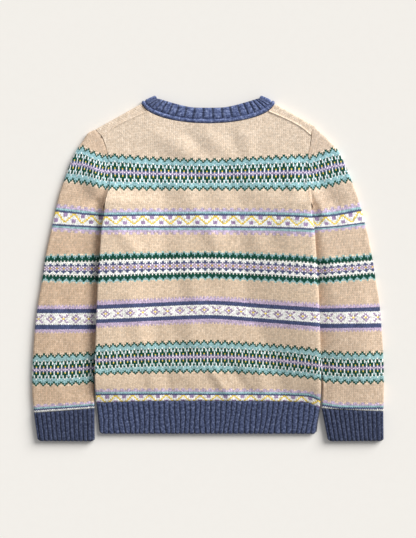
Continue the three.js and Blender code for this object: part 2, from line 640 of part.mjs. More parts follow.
// The neckband: a folded rib strip, carried round the neck and turned over at each shoulder
function makeNeckband() {
  const high = BAND_HEIGHT - BAND_THICKNESS / 2;
  const low = BAND_THICKNESS / 2;
  const stations = [];
  const flatStation = (curves, place, z, rise) => {
    const side = Math.sign(place) || 1;
    const put = (curve) => curve.getPoint(Math.abs(place)).multiply(new THREE.Vector3(side, 1, 1)).setZ(z);
    const up = new THREE.Vector3(0, 0, z > FOLD_RADIUS ? 1 : -1);
    stations.push({ link: put(curves.link), free: put(curves.free), up, rise });
  };
  const turnOver = (side, from, to) => {
    const { linkX, linkY, freeX, freeY } = neckBack[neckBack.length - 1];
    const link = new THREE.Vector3(side * linkX, linkY, (high + low) / 2);
    const free = new THREE.Vector3(side * freeX, freeY, (high + low) / 2);
    const width = link.distanceTo(free);
    const out = new THREE.Vector3((side * (freeY - linkY)) / width, (linkX - freeX) / width, 0);
    for (let i = 1; i < NECK_TURN_STEPS; i += 1) {
      const turn = lerp(from, to, i / NECK_TURN_STEPS) * Math.PI;
      const up = out.clone().multiplyScalar(Math.sin(turn)).setZ(Math.cos(turn));
      const move = up.clone().multiplyScalar((high - low) / 2);
      stations.push({ link: link.clone().add(move), free: free.clone().add(move), up, rise: 0.5 });
    }
  };
  const ribPoints = NECK_RIBS * ribProfile.length;
  for (let i = 0; i <= ribPoints; i += 1)
    flatStation(neck.back, (2 * i) / ribPoints - 1, high, ribProfile[i % ribProfile.length].rise);
  turnOver(1, 0, 1);
  for (const column of [...panelColumns].reverse())
    if (Math.abs(column) <= NECK_SHARE) flatStation(neck.front, column / NECK_SHARE, low, 0);
  turnOver(-1, 1, 0);
  const rings = stations.map(({ link, free, up, rise }) =>
    bandSection.map((c) => {
      const proud = clamp((up.z + 1) / 0.6, 0, 1) * (c.roll + c.rib * rise);
      return link.clone().lerp(free, c.at).addScaledVector(up, c.side * BAND_THICKNESS + proud);
    }),
  );
  const points = rings.flat();
  const triangles = [];
  const id = (i, j) => (i % rings.length) * bandSection.length + (j % bandSection.length);
  for (let i = 0; i < rings.length; i += 1)
    for (let j = 0; j < bandSection.length; j += 1) {
      triangles.push([id(i, j), id(i + 1, j), id(i + 1, j + 1)]);
      triangles.push([id(i, j), id(i + 1, j + 1), id(i, j + 1)]);
    }
  return closed("neckband", points, triangles, rib);
}

const jumper = new THREE.Group();
const body = new THREE.Group();
body.add(makeBack(), makeFront(), makeHemBack(), makeHemFront(), makeNeckband());
const sleeves = new THREE.Group();
for (const side of ["left", "right"]) sleeves.add(makeSleeve(side), makeCuff(side));
jumper.add(body, sleeves);
const middle = new THREE.Box3().setFromObject(jumper).getCenter(new THREE.Vector3());
jumper.position.set(-middle.x, -middle.y, 0);

export default jumper;
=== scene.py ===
import math

import bpy
import numpy as np
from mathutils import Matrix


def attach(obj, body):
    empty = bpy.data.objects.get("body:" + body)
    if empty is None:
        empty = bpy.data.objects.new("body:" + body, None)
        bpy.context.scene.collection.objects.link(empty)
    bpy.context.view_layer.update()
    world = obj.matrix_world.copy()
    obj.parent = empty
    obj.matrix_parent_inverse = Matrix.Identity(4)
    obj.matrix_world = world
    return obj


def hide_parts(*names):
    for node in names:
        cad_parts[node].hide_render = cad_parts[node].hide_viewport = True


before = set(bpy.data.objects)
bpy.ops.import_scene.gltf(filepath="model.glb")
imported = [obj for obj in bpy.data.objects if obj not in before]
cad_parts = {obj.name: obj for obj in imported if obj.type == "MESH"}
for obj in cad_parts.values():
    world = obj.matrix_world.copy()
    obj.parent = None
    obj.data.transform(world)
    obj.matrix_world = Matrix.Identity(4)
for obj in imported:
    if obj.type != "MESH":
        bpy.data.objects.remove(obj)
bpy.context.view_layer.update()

# The looks of a child's fair isle jumper, laid flat with its back up.
# Forms are worked out in millimetres from the same sizes as the solids, then made in metres.
# +X is the wearer's right, +Y runs from hem to neck, +Z is up from the surface.
MM = 0.001
SHIFT_Y = 0.073  # the solids lie this far over, to the middle of the rectangle that they cover

# Sizes that the solids also have
WALL = 2.4
TUBE_HEIGHT = 7.8
FOLD_RADIUS = TUBE_HEIGHT / 2
SEAM_GAP = 0.3
NECK_GAP = 0.6
ARMHOLE_GAP = 0.45
HEM_JOIN_Y = -185.0
HEM_BOTTOM_Y = -231.2
UNDERARM_Y = 92.0
SHOULDER_TIP = np.array([152.6, 198.3])
NECK_CORNER = np.array([93.1, 231.6])
CUFF_BOTTOM_Y = -241.6
CUFF_CORNER_UP = 0.4  # a cuff's outer corner ends this much higher
BAND_THICKNESS = 3.5
BAND_HEIGHT = 7.6
RIB_RISE = 1.7
HEM_WALL = 2.2
HEM_RIBS = 43
CUFF_RIBS = 12
NECK_RIBS = 19
SLACK_LEAST = 0.35
SLACK_UPPER = TUBE_HEIGHT - 2 * WALL
SLACK_LOWER = 1.9
SLACK_HEM = 0.9
SLACK_OVER_BAND = 1.6
FRONT_NECK_Y = 169.0
# How far in the body's sides round off and by how much, crisp on the left and soft on the right
SIDE_ROUNDING = {"left": 2.5, "right": 6.5}
SIDE_DROP = {"left": 2.0, "right": 4.6}
LIFT_RAMP = 40.0
LIFT_AHEAD = 3.0
TUCK_TOP_Y = 10.0
UPPER_LIFT_SHARE = {"left": 1.8, "right": 1.45}
UPPER_RAMP = (76, 18)
FOLD_DEPTH = 1.25
FOLD_FADE = 14  # folds fade out this far from an edge
SHOULDER_FOLDS = 0.4  # this much of a fold is left at the shoulders
SHOULDER_FADE = (184, 206)
TURN_POWER = 0.72  # folded edges are a little squarer than round
ARMHOLE_CURVE_REACH = 2.2

BODY_SIDE = {
    "y": [-231.2, -194.8, -185.0, -143.0, -106.6, -40.8, -5.8, 25.0, 53.0, 72.6, 92.0, 106.0, 120.0, 134.0,
          148.2, 162.2, 173.4, 186.7, 198.3, 212.0],
    "half": [152.2, 155.7, 156.9, 157.9, 156.9, 154.7, 152.9, 150.8, 148.8, 145.6, 143.4, 140.7, 138.4, 138.2,
             140.2, 142.7, 145.0, 148.2, 152.6, 159.4],
}
SLEEVE_OUTER = {
    "y": [198.3, 191.4, 182.3, 165.0, 149.6, 135.6, 107.6, 86.6, 46.0, 20.8, -25.4, -50.6, -78.6, -115.0,
          -150.0, -168.2, -199.0],
    "left": [153.0, 166.0, 172.8, 185.1, 192.2, 197.5, 207.3, 212.7, 221.6, 227.1, 234.2, 238.6, 242.2, 244.9,
             246.4, 246.4, 244.2],
    "right": [153.0, 158.4, 167.0, 182.6, 190.1, 196.4, 206.8, 213.8, 224.0, 229.2, 236.5, 240.4, 242.9,
              245.1, 246.4, 246.4, 245.6],
}
SLEEVE_SECTIONS = {
    "outer_y": [198.3, 193, 184, 170, 150, 127, 102, 76, 50, 24, -3, -30, -57, -84, -112, -140, -168, -199],
    "inner_x": [143.8, 146.8, 145.2, 141.5, 134.5, 128, 123.5, 121.5, 122.5, 126, 130, 134.5, 139.5, 145,
                151.5, 159.4, 159.8, 159.2],
    "inner_y": [92, 86, 79, 69, 57.5, 45, 29, 10, -10, -30, -50, -70, -90, -110, -130, -149, -169, -192],
    "raise": [8.3, 3, 0, 0, 0, 0, 0, 0, 0, 0, 0, 0, 0, 0, 0, 0, 0, 0],
}
SIDE_LIFT = {
    "y": [-190, -152, 92, 100, 110, 120, 132, 142],
    "rise": [0, 8.3, 8.3, 6.2, 3.4, 1.4, 0.3, 0],
}
CUFFS = {
    "left": {
        "outer_join": -201.4, "inner_join": -195.0, "outer_bottom": 238.8, "inner_bottom": 158.8, "sign": -1,
    },
    "right": {
        "outer_join": -199.4, "inner_join": -195.0, "outer_bottom": 246.0, "inner_bottom": 168.0, "sign": 1,
    },
}
NECK_BACK = {
    "link": [[0, 203.9], [27.2, 205.3], [51.2, 209.0], [70.6, 214.6], [85.0, 221.9], [92.4, 229.5]],
    "free": [[0, 225.6], [23.5, 226.4], [43.3, 230.7], [58.0, 234.9], [66.8, 237.6], [71.4, 238.4]],
}
NECK_FRONT = {
    "link": [[0, 169.0], [35.0, 171.5], [62.0, 180.0], [79.0, 194.0], [89.0, 212.0], [92.4, 229.5]],
    "free": [[0, 191.0], [26.0, 192.5], [47.0, 198.0], [60.0, 208.0], [68.0, 222.0], [71.4, 238.4]],
}
SHOULDER_SEAM = {
    "across": [0.54, 0.6, 0.66, 0.78, 0.88, 1],
    "x": [84.2, 91.6, 100.1, 117.6, 131.6, 145.6],
    "y": [220.6, 217.6, 214.0, 205.9, 197.9, 186.7],
}
# Soft folds from one end to the other, with half-widths and heights (below 0 is a trough)
FOLD_COLUMNS = ("x1", "y1", "x2", "y2", "width", "height")
BODY_FOLDS = [
    (-67, 186, -32, 166, 12, 1.5),
    (-28, 188, -5, 162, 10, -1.5),
    (1, 188, 17, 169, 9, 1.0),
    (31, 188, 41, 164, 9, -1.2),
    (54, 186, 58, 158, 11, 1.2),
    (-67, 152, -11, 127, 16, -1.5),
    (24, 138, 42, 96, 14, -1.6),
    (-31, 105, 10, 40, 12, 1.6),
    (28, 70, 46, 34, 13, -1.1),
    (-63, 105, -62, 19, 12, -1.9),
    (66, 44, 70, 30, 10, 1.2),
    (88, 50, 100, 28, 10, -0.7),
    (-135, 66, -102, 26, 8, 1.1),
    (-23, -10, -15, -50, 14, 1.5),
    (49, 10, 52, -44, 14, -1.6),
    (-42, -9, -39, -58, 12, -1.0),
    (-109, -41, -92, -107, 12, 1.6),
    (-92, -107, -78, -163, 10, 1.4),
    (-25, -74, -17, -107, 13, 1.3),
    (70, -79, 84, -114, 13, -1.4),
    (-52, -79, -38, -114, 13, -1.4),
    (-57, -144, -55, -180, 8, -1.7),
    (-31, -150, -6, -172, 10, 0.9),
    (8, -147, 32, -181, 7.5, 2.2),
    (35, -142, 57, -176, 7.5, -1.8),
    (70, -142, 80, -178, 8, 1.4),
    (99, -142, 106, -178, 9, -1.1),
    (-105, 30, -101, -60, 12, 1.3),
    (-77, -62, -70, -100, 11, -1.0),
    (8, 45, 12, 0, 12, 1.2),
]
SLEEVE_FOLDS = {
    "left": [
        (-176, 128, -160, 108, 9, 1.6),
        (-155, 92, -149, 76, 7, -3.4),
        (-204, 66, -178, 82, 12, 0.9),
        (-212, 8, -180, 26, 12, -1.2),
        (-204, -44, -193, -79, 10, -1.3),
        (-199, -107, -196, -135, 10, -0.9),
        (-216, -150, -202, -182, 10, 0.8),
    ],
    "right": [
        (147, 103, 162, 74, 6.5, 2.4),
        (159, 119, 179, 88, 8, -1.7),
        (189, 116, 201, 88, 10, 1.0),
        (151, 88, 155, 66, 5.5, -3.4),
        (168, 15, 176, -4, 8, 1.1),
        (214, 26, 190, 14, 12, -0.8),
        (210, -107, 215, -135, 14, 1.2),
        (206, -148, 212, -184, 10, 0.8),
    ],
}
ARMHOLE_FOLDS = [
    (-160, 141, -157, 118, 11, 4.2),
    (115, 144, 122, 110, 12, 3.2),
    (140, 122, 148, 104, 7, 3.2),
]
# The sleeves' upper wall swells between its edges, and sinks into the crease along the body's side
SLEEVE_DIP = 3.3
DIPS = {
    "y": [-200, -160, -110, -60, -20, 40, 92],
    "reach_left": [24, 28, 30, 30, 28, 24, 14],
    "reach_right": [14, 24, 34, 34, 20, 13, 11],
    "swell_left": [1.5, 2.4, 2.6, 2.6, 2.4, 2.0, 1.5],
    "swell_right": [1.5, 3.0, 5.2, 5.4, 3.4, 2.4, 1.8],
}

# The knitting's courses as the photo shows them, in its pixels. Each line follows the lower edge of one
# course from left to right. Courses are counted from the hem rib up.
PIXEL = 1.4  # millimetres
PHOTO_MIDDLE_X = 208.1
PHOTO_MIDDLE_Y = 268.85
BODY_COURSES = {
    "course": [0, 4, 5, 6, 8, 18, 39, 49, 52, 55, 62, 65, 68, 78, 97, 107, 109, 110, 111, 117, 118, 119, 121,
               131, 152, 190],
    "y": [401.0, 395.3, 393.9, 391.9, 388.5, 373.5, 339.9, 323.8, 318.9, 315.0, 304.8, 300.8, 296.0, 280.0,
          251.0, 234.6, 230.1, 227.8, 226.0, 215.7, 213.85, 211.6, 207.9, 190.9, 158.3, 95.6],
}
# How far each course of the body hangs below its middle, at shares of the half-width from left to right
BODY_BOWS = {
    "share": [-1, -0.5, 0, 0.5, 0.88, 1],
    "rows": [
        {"course": 0, "bow": [1.8, 0.3, 0, 0.4, 1.6, 7.4]},
        {"course": 5, "bow": [-0.3, -0.2, 0, 0.2, 1.3, 5.5]},
        {"course": 18, "bow": [1.8, 0.6, 0, 2.0, 5.5, 7.7]},
        {"course": 39, "bow": [3.8, 1.4, 0, 3.0, 6.5, 8.9]},
        {"course": 52, "bow": [4.0, 2.0, 0, 3.6, 6.6, 7.6]},
        {"course": 65, "bow": [4.1, 2.0, 0, 3.4, 6.0, 6.9]},
        {"course": 78, "bow": [3.5, 1.4, 0, 2.2, 4.6, 5.6]},
        {"course": 97, "bow": [1.6, 0.5, 0, 1.4, 3.6, 4.8]},
        {"course": 107, "bow": [0.2, 0, 0, 0.6, 2.0, 2.6]},
        {"course": 121, "bow": [1.6, 0.4, 0, 0.3, 1.8, 2.6]},
        {"course": 131, "bow": [-0.2, 0, 0, 0, 0.5, 0.8]},
        {"course": 152, "bow": [-5.3, -1.6, 0, -2.2, -4.2, -4.5]},
        {"course": 190, "bow": [-8.0, -2.5, 0, -2.5, -7.0, -8.0]},
    ],
}
LEFT_COURSES = [
    {"course": 3.5, "x": [34.7, 94.9], "y": [411.6, 407.4]},
    {"course": 4.5, "x": [34.7, 94.9], "y": [409.8, 405.7]},
    {"course": 8, "x": [33.5, 94.9], "y": [404.5, 401.0]},
    {"course": 18, "x": [32.4, 57.7, 94.9], "y": [386.2, 386.2, 383.8]},
    {"course": 39, "x": [33.5, 65.4, 95.5], "y": [353.5, 352.6, 351.4]},
    {"course": 49, "x": [35.3, 96], "y": [333.2, 333.0]},
    {"course": 52, "x": [35.7, 96], "y": [329.4, 329.3]},
    {"course": 55, "x": [35.7, 96], "y": [324.7, 324.6]},
    {"course": 62, "x": [37.7, 96], "y": [313.3, 313.2]},
    {"course": 65, "x": [37.7, 96], "y": [309.0, 308.9]},
    {"course": 68, "x": [37.7, 96], "y": [305.0, 304.5]},
    {"course": 78, "x": [43, 97.8], "y": [282.4, 284.2]},
    {"course": 97, "x": [47, 100.3], "y": [254.2, 253.6]},
    {"course": 107, "x": [51.8, 100.3], "y": [231.1, 234.8]},
    {"course": 110.5, "x": [52.4, 80.9, 101.5], "y": [224.7, 226.3, 227.3]},
    {"course": 117.5, "x": [55.4, 80.9, 102.7], "y": [210.8, 213.6, 215.6]},
    {"course": 121, "x": [60.3, 105.1], "y": [203.9, 209.3]},
    {"course": 131, "x": [65.1, 88.8, 105.7], "y": [182.7, 186.3, 190.0]},
    {"course": 152, "x": [82.7, 97.8, 105.7], "y": [145.1, 152.4, 154.2]},
]
RIGHT_COURSES = [
    {"course": 3.5, "x": [322.4, 344, 383.6], "y": [407.2, 410.3, 410.6]},
    {"course": 4.5, "x": [321.8, 344, 383.6], "y": [405.1, 408.0, 408.1]},
    {"course": 8, "x": [321.8, 344, 383.6], "y": [399.7, 402.0, 402.7]},
    {"course": 18, "x": [322.4, 351.5, 383.6], "y": [382.7, 384.5, 383.9]},
    {"course": 39, "x": [321.2, 351.5, 383.6], "y": [350.0, 351.2, 350.6]},
    {"course": 49, "x": [320, 381.5], "y": [332.0, 331.2]},
    {"course": 52, "x": [320, 381.2], "y": [328.2, 327.6]},
    {"course": 55, "x": [320, 381.2], "y": [323.7, 323.1]},
    {"course": 62, "x": [320, 379.9], "y": [312.4, 311.2]},
    {"course": 65, "x": [320, 379.9], "y": [308.5, 307.0]},
    {"course": 68, "x": [320, 379.3], "y": [305.0, 303.4]},
    {"course": 78, "x": [319.4, 375.1], "y": [284.5, 280.3]},
    {"course": 97, "x": [317.5, 370.9], "y": [257.2, 253.0]},
    {"course": 107, "x": [315.1, 366], "y": [233.0, 228.1]},
    {"course": 110.5, "x": [314.5, 333.3, 364.8], "y": [228.1, 226.9, 222.9]},
    {"course": 117.5, "x": [312.7, 327.2, 361.8], "y": [216.6, 216.0, 210.0]},
    {"course": 121, "x": [312.7, 358.7], "y": [210.4, 202.6]},
    {"course": 131, "x": [314.5, 328.4, 343.6, 350.3], "y": [190.6, 188.2, 183.9, 182.7]},
    {"course": 152, "x": [309.7, 322.4, 333.3], "y": [155.4, 150.6, 147.0]},
]
PLAIN_COURSE = 1.62  # pixels from course to course in plain knitting
COURSES_BEYOND = 40  # the courses run on this far past the first and last lines
# The wale counted as 0 and the wales' pitch, at some courses
BODY_WALES = {
    "course": [-10, 2, 28, 58, 87, 114, 141, 175],
    "x": [207.8, 207.8, 207.6, 207.8, 206.9, 207.2, 207.0, 207.0],
    "pitch": [1.69, 1.69, 1.735, 1.75, 1.755, 1.80, 1.915, 1.93],
}
LEFT_WALES = {
    "course": [-10, 2, 28, 58, 87, 114, 141, 165],
    "x": [64.3, 64.5, 65.4, 67.2, 70.95, 74.8, 85.1, 93.0],
    "pitch": [1.8, 1.8, 1.81, 1.782, 1.74, 1.757, 1.42, 1.42],
}
RIGHT_WALES = {
    "course": [-10, 2, 28, 58, 87, 114, 141, 165],
    "x": [352.7, 352.5, 351.5, 349.5, 345.4, 338.6, 329.0, 321.0],
    "pitch": [1.85, 1.85, 1.85, 1.77, 1.70, 1.68, 1.6, 1.6],
}

# Yarn colours, in linear light
YARNS = {
    "b": (0.810, 0.640, 0.480),  # oatmeal
    "g": (0.004, 0.070, 0.045),  # dark green
    "a": (0.330, 0.545, 0.560),  # aqua
    "w": (0.960, 0.950, 0.910),  # white
    "y": (0.930, 0.680, 0.110),  # yellow
    "n": (0.072, 0.092, 0.195),  # navy
    "l": (0.600, 0.475, 0.640),  # lavender
    "p": (0.400, 0.285, 0.460),  # purple
    "m": (0.760, 0.670, 0.770),  # pale lavender
}
# Tones of the marled yarns, from the darkest flecks to the palest
PLAIN_TONES = [
    (0.52, 0.37, 0.245),
    (0.68, 0.515, 0.365),
    (0.80, 0.63, 0.47),
    (0.90, 0.745, 0.59),
    (0.97, 0.85, 0.71),
]
RIB_TONES = [
    (0.012, 0.016, 0.050),
    (0.030, 0.042, 0.105),
    (0.074, 0.100, 0.210),
    (0.185, 0.225, 0.390),
    (0.40, 0.45, 0.62),
]

# Charts: the letters are yarns, from a motif's middle wale out. Mirrored charts start at the middle course.
CHARTS = {
    "flower": {
        "mirrored": True, "period": 4, "half": False,
        "rows": ["lmp", "mnw", "ygw", "ggw", "gwa", "gwg", "waa", "aaa", "aag", "agb", "gbb"],
    },
    "cross": {
        "mirrored": True, "period": 4, "half": False,
        "rows": ["ypm", "pwp", "nnw", "nww", "www", "wgw", "ggg", "gga", "gaa", "abb"],
    },
    "noughts": {
        "mirrored": True, "period": 14, "half": False,
        "rows": ["ywwwwpwy", "wpwwwwpw", "wwpwwwwp", "wwwwwwww", "nnnnnnnn", "nnnnnnnn", "nnnnnnnn",
                 "llllllll", "llllllll", "blblblbl"],
    },
    "zigzag": {
        "mirrored": False, "period": 10, "half": True,
        "rows": ["wwwww", "ywwwp", "wywwp", "wwyww", "pwwyw", "pwwwy"],
    },
    "edging": {
        "mirrored": False, "period": 4, "half": True,
        "rows": ["lb", "ll", "aa", "nn", "ww", "ww", "ww", "ww", "ww", "ww", "nn", "aa", "ll", "lb"],
    },
}
# Where each band starts, in courses, and the wale of its motif's middle on each piece that has it
BANDS = [
    {"chart": "edging", "first": -6, "body": 1.5, "left": 1.5, "right": 1.5},
    {"chart": "zigzag", "first": -2, "body": 0.5, "left": None, "right": None},
    {"chart": "flower", "first": 18, "body": -2, "left": 0, "right": -2},
    {"chart": "noughts", "first": 49, "body": 5, "left": -2, "right": 2},
    {"chart": "cross", "first": 78, "body": -1, "left": 0, "right": 0},
    {"chart": "edging", "first": 107, "body": 1.5, "left": 1.5, "right": 1.5},
    {"chart": "zigzag", "first": 111, "body": -0.5, "left": 4.5, "right": -2.5},
    {"chart": "flower", "first": 131, "body": 0, "left": 0, "right": 0},
]


def lerp(a, b, t):
    return a + (b - a) * t


def smoothstep(x, low, high):
    t = np.clip((x - low) / (high - low), 0, 1)
    return t * t * (3 - 2 * t)


def smooth(keys, values, at):
    """Smooth curve through a column of a table, without overshoot."""
    keys = np.asarray(keys, float)
    values = np.asarray(values, float)
    if keys[0] > keys[-1]:
        keys, values = keys[::-1], values[::-1]
    slopes = np.diff(values) / np.diff(keys)
    tangents = np.zeros(len(keys))
    tangents[0], tangents[-1] = slopes[0], slopes[-1]
    before, after = slopes[:-1], slopes[1:]
    same = before * after > 0
    tangents[1:-1][same] = 2 * before[same] * after[same] / (before[same] + after[same])
    at = np.clip(np.asarray(at, float), keys[0], keys[-1])
    i = np.clip(np.searchsorted(keys, at, side="right") - 1, 0, len(keys) - 2)
    width = keys[i + 1] - keys[i]
    t = (at - keys[i]) / width
    ease = t * t * (3 - 2 * t)
    leave = t * (1 - t) ** 2 * width * tangents[i]
    arrive = t * t * (t - 1) * width * tangents[i + 1]
    return lerp(values[i], values[i + 1], ease) + leave + arrive


def body_half(y):
    """Half the body's width at a level."""
    return smooth(BODY_SIDE["y"], BODY_SIDE["half"], y)


def fold_height(folds, x, y):
    """How far a table's folds raise or sink the cloth."""
    height = np.zeros(np.broadcast(x, y).shape)
    for row in folds:
        f = dict(zip(FOLD_COLUMNS, row))
        dx, dy = f["x2"] - f["x1"], f["y2"] - f["y1"]
        t = np.clip(((x - f["x1"]) * dx + (y - f["y1"]) * dy) / (dx * dx + dy * dy), 0, 1)
        away = np.hypot(x - f["x1"] - t * dx, y - f["y1"] - t * dy) / f["width"]
        height = height + f["height"] * np.exp(-away * away)
    return height


# Fine relief of the cloth itself: an uneven surface that no table holds
RELIEF_WAVES = {
    "across": [0.031, -0.054, 0.083, 0.012, 0.117, -0.021, 0.066, -0.142],
    "up": [0.047, 0.071, -0.038, 0.098, 0.064, 0.133, -0.118, 0.029],
    "start": [0.4, 2.1, 4.4, 1.2, 5.3, 3.0, 0.9, 2.6],
    "height": [0.16, 0.13, 0.11, 0.10, 0.08, 0.07, 0.07, 0.05],
}


def relief(x, y):
    """The cloth's own unevenness."""
    total = np.zeros(np.broadcast(x, y).shape)
    for i in range(len(RELIEF_WAVES["height"])):
        angle = RELIEF_WAVES["across"][i] * x + RELIEF_WAVES["up"][i] * y + RELIEF_WAVES["start"][i]
        total = total + RELIEF_WAVES["height"][i] * np.sin(angle)
    return total


def tucked_edge(y):
    """How far from the middle a sleeve's inner edge lies under the body."""
    return smooth(SLEEVE_SECTIONS["inner_y"], SLEEVE_SECTIONS["inner_x"], np.minimum(y, TUCK_TOP_Y))


def lift(x, y):
    """Underside of the front panel: on the surface, and up over the sleeves at the sides."""
    rise = smooth(SIDE_LIFT["y"], SIDE_LIFT["rise"], y)
    full = tucked_edge(y) - LIFT_AHEAD
    return rise * smoothstep(np.abs(x), full - LIFT_RAMP, full)


def upper_lift(x, y):
    """How far the back's upper face is up over the sleeves, on a longer slope than its underside."""
    share = np.where(x < 0, UPPER_LIFT_SHARE["left"], UPPER_LIFT_SHARE["right"])
    rise = smooth(SIDE_LIFT["y"], SIDE_LIFT["rise"], y) * share
    full = tucked_edge(y)
    return rise * smoothstep(np.abs(x), full - UPPER_RAMP[0], full + UPPER_RAMP[1])


def slack(x, y):
    """Room between the top of the front panel and the underside of the back panel."""
    below = lerp(SLACK_HEM, SLACK_LOWER, smoothstep(y, HEM_JOIN_Y, HEM_JOIN_Y + 40))
    base = lerp(below, SLACK_UPPER, smoothstep(y, 36, UNDERARM_Y - 4))
    return np.maximum(base, np.where(y > FRONT_NECK_Y - 20, SLACK_OVER_BAND, SLACK_LEAST))


def armhole_bumps(x, y):
    """Swellings beside the armholes, which the body and the sleeves share."""
    return fold_height(ARMHOLE_FOLDS, x, y) * smoothstep(y, UNDERARM_Y - 10, UNDERARM_Y + 18)


def body_folds(x, y):
    """How far the body's upper wall rises or sinks in its folds."""
    edge = smoothstep(body_half(y) - np.abs(x), 0, FOLD_FADE)
    shoulder = lerp(1, SHOULDER_FOLDS, smoothstep(y, *SHOULDER_FADE))
    hem = smoothstep(y, HEM_BOTTOM_Y, HEM_JOIN_Y)
    return (fold_height(BODY_FOLDS, x, y) * FOLD_DEPTH + relief(x, y)) * edge * shoulder * hem


def roundness(y):
    """1 where the body's sides are round, and 0 above the underarm."""
    return 1 - smoothstep(y, UNDERARM_Y - 14, UNDERARM_Y + 4)


def side_bend(x, y):
    """How far the body's upper face bends down to its sides."""
    rounding = np.where(x < 0, SIDE_ROUNDING["left"], SIDE_ROUNDING["right"])
    drop = np.where(x < 0, SIDE_DROP["left"], SIDE_DROP["right"])
    inside = np.clip((body_half(y) - np.abs(x)) / rounding, 0, 1)
    return drop * roundness(y) * (1 - np.sqrt(1 - (1 - inside) ** 2))


def square_off(value):
    """Sine or cosine of a turn, moved towards a squarer corner."""
    return np.sign(value) * np.abs(value) ** TURN_POWER


def catmull(points, share):
    """A centripetal curve through points, at a share of the way through them."""
    p = np.asarray(points, float)
    padded = np.vstack([2 * p[0] - p[1], p, 2 * p[-1] - p[-2]])
    at = np.clip(np.asarray(share, float), 0, 1) * (len(p) - 1)
    i = np.clip(np.floor(at).astype(int), 0, len(p) - 2)
    w = (at - i)[..., None]
    a, b, c, d = padded[i], padded[i + 1], padded[i + 2], padded[i + 3]
    step = []
    for q, r in ((a, b), (b, c), (c, d)):
        step.append(np.maximum(np.sum((q - r) ** 2, axis=-1), 1e-9)[..., None] ** 0.25)
    leave = ((b - a) / step[0] - (c - a) / (step[0] + step[1]) + (c - b) / step[1]) * step[1]
    arrive = ((c - b) / step[1] - (d - b) / (step[1] + step[2]) + (d - c) / step[2]) * step[1]
    square, cube = w * w, w * w * w
    return b + leave * w + (3 * (c - b) - 2 * leave - arrive) * square + (2 * (b - c) + leave + arrive) * cube


def neck_edge(points, share):
    """A panel's edge along the neck: the linked edge, moved out by the gap."""
    share = np.asarray(share, float)
    at = catmull(points, share)
    run = catmull(points, np.minimum(share + 1e-3, 1)) - catmull(points, np.maximum(share - 1e-3, 0))
    run = run / np.linalg.norm(run, axis=-1)[..., None]
    out = np.stack([run[..., 1], -run[..., 0]], axis=-1)
    out[share < 1e-6] = (0, -1)
    return at + out * NECK_GAP


SEAM_AT_NECK = 0.8  # where the shoulder seam meets the linked edge, as a share of its curve
NECK_SHARE = 0.46
CORNER_SHARE = 0.6
SHOULDER_GAP = -0.35  # the two edges overlap by this much under the linked seam
FOLD_RUN = (SHOULDER_TIP - NECK_CORNER) / np.linalg.norm(SHOULDER_TIP - NECK_CORNER)
FOLD_OUT = np.array([-FOLD_RUN[1], FOLD_RUN[0]])
ROLL_RADIUS = FOLD_RADIUS - WALL / 2
ROLL_LENGTH = math.pi * ROLL_RADIUS


def back_top(across):
    """The back's top edge: along the neck, then along the shoulder seam."""
    start = SHOULDER_SEAM["across"][0]
    edge = neck_edge(NECK_BACK["link"], SEAM_AT_NECK * np.minimum(across, start) / start)
    x = smooth(SHOULDER_SEAM["across"], SHOULDER_SEAM["x"], across)
    y = smooth(SHOULDER_SEAM["across"], SHOULDER_SEAM["y"], across)
    return np.where((across < start)[..., None], edge, np.stack([x, y], axis=-1))


def on_panel(across, top, up, level):
    """A place on a panel: a share of the way across, at a level, or a share above the underarm."""
    y = np.where(np.isnan(level), lerp(UNDERARM_Y, top[..., 1], up), level)
    share = lerp(across, top[..., 0] / body_half(top[..., 1]), up)
    half = body_half(y) - (ARMHOLE_GAP / 2) * (1 - roundness(y))
    return np.minimum(share, 1) * half, y


def past_roll(x, y):
    """How far a place lies past the start of the shoulder's fold."""
    return (x - NECK_CORNER[0]) * FOLD_OUT[0] + (y - NECK_CORNER[1]) * FOLD_OUT[1] + FOLD_RADIUS


def unfold(point):
    """Where a place on the folded-over flap lies when the front is unrolled."""
    move = ROLL_LENGTH - 2 * past_roll(point[..., 0], point[..., 1])
    return point + FOLD_OUT * move[..., None]


def front_top(across):
    """The front's top edge: along the neck, then the shoulder seam unrolled."""
    neck = neck_edge(NECK_FRONT["link"], np.minimum(across / NECK_SHARE, 1))
    corner = np.clip((across - NECK_SHARE) / (CORNER_SHARE - NECK_SHARE), 0, 1)
    over = unfold(neck_edge(NECK_BACK["link"], lerp(1, SEAM_AT_NECK, corner)))
    seam = lerp(SHOULDER_SEAM["across"][0], 1, np.clip((across - CORNER_SHARE) / (1 - CORNER_SHARE), 0, 1))
    x = smooth(SHOULDER_SEAM["across"], SHOULDER_SEAM["x"], seam) + SHOULDER_GAP * FOLD_OUT[0]
    y = smooth(SHOULDER_SEAM["across"], SHOULDER_SEAM["y"], seam) + SHOULDER_GAP * FOLD_OUT[1]
    shoulder = unfold(np.stack([x, y], axis=-1))
    a = across[..., None]
    return np.where(a <= NECK_SHARE, neck, np.where(a < CORNER_SHARE, over, shoulder))


def share_before_fold(across, top):
    """Share of the way up at which each column reaches the fold."""
    low, high = np.zeros(across.shape), np.ones(across.shape)
    none = np.full(across.shape, np.nan)
    for _ in range(24):
        middle = (low + high) / 2
        before = past_roll(*on_panel(across, top, middle, none)) < 0
        low = np.where(before, middle, low)
        high = np.where(before, high, middle)
    return np.where(past_roll(top[..., 0], top[..., 1]) <= 0, 0.9, low)


DROP_REACH = 45


def to_pixels(x, y):
    """Where a place shows in the photo."""
    return PHOTO_MIDDLE_X + x / PIXEL, PHOTO_MIDDLE_Y - y / PIXEL


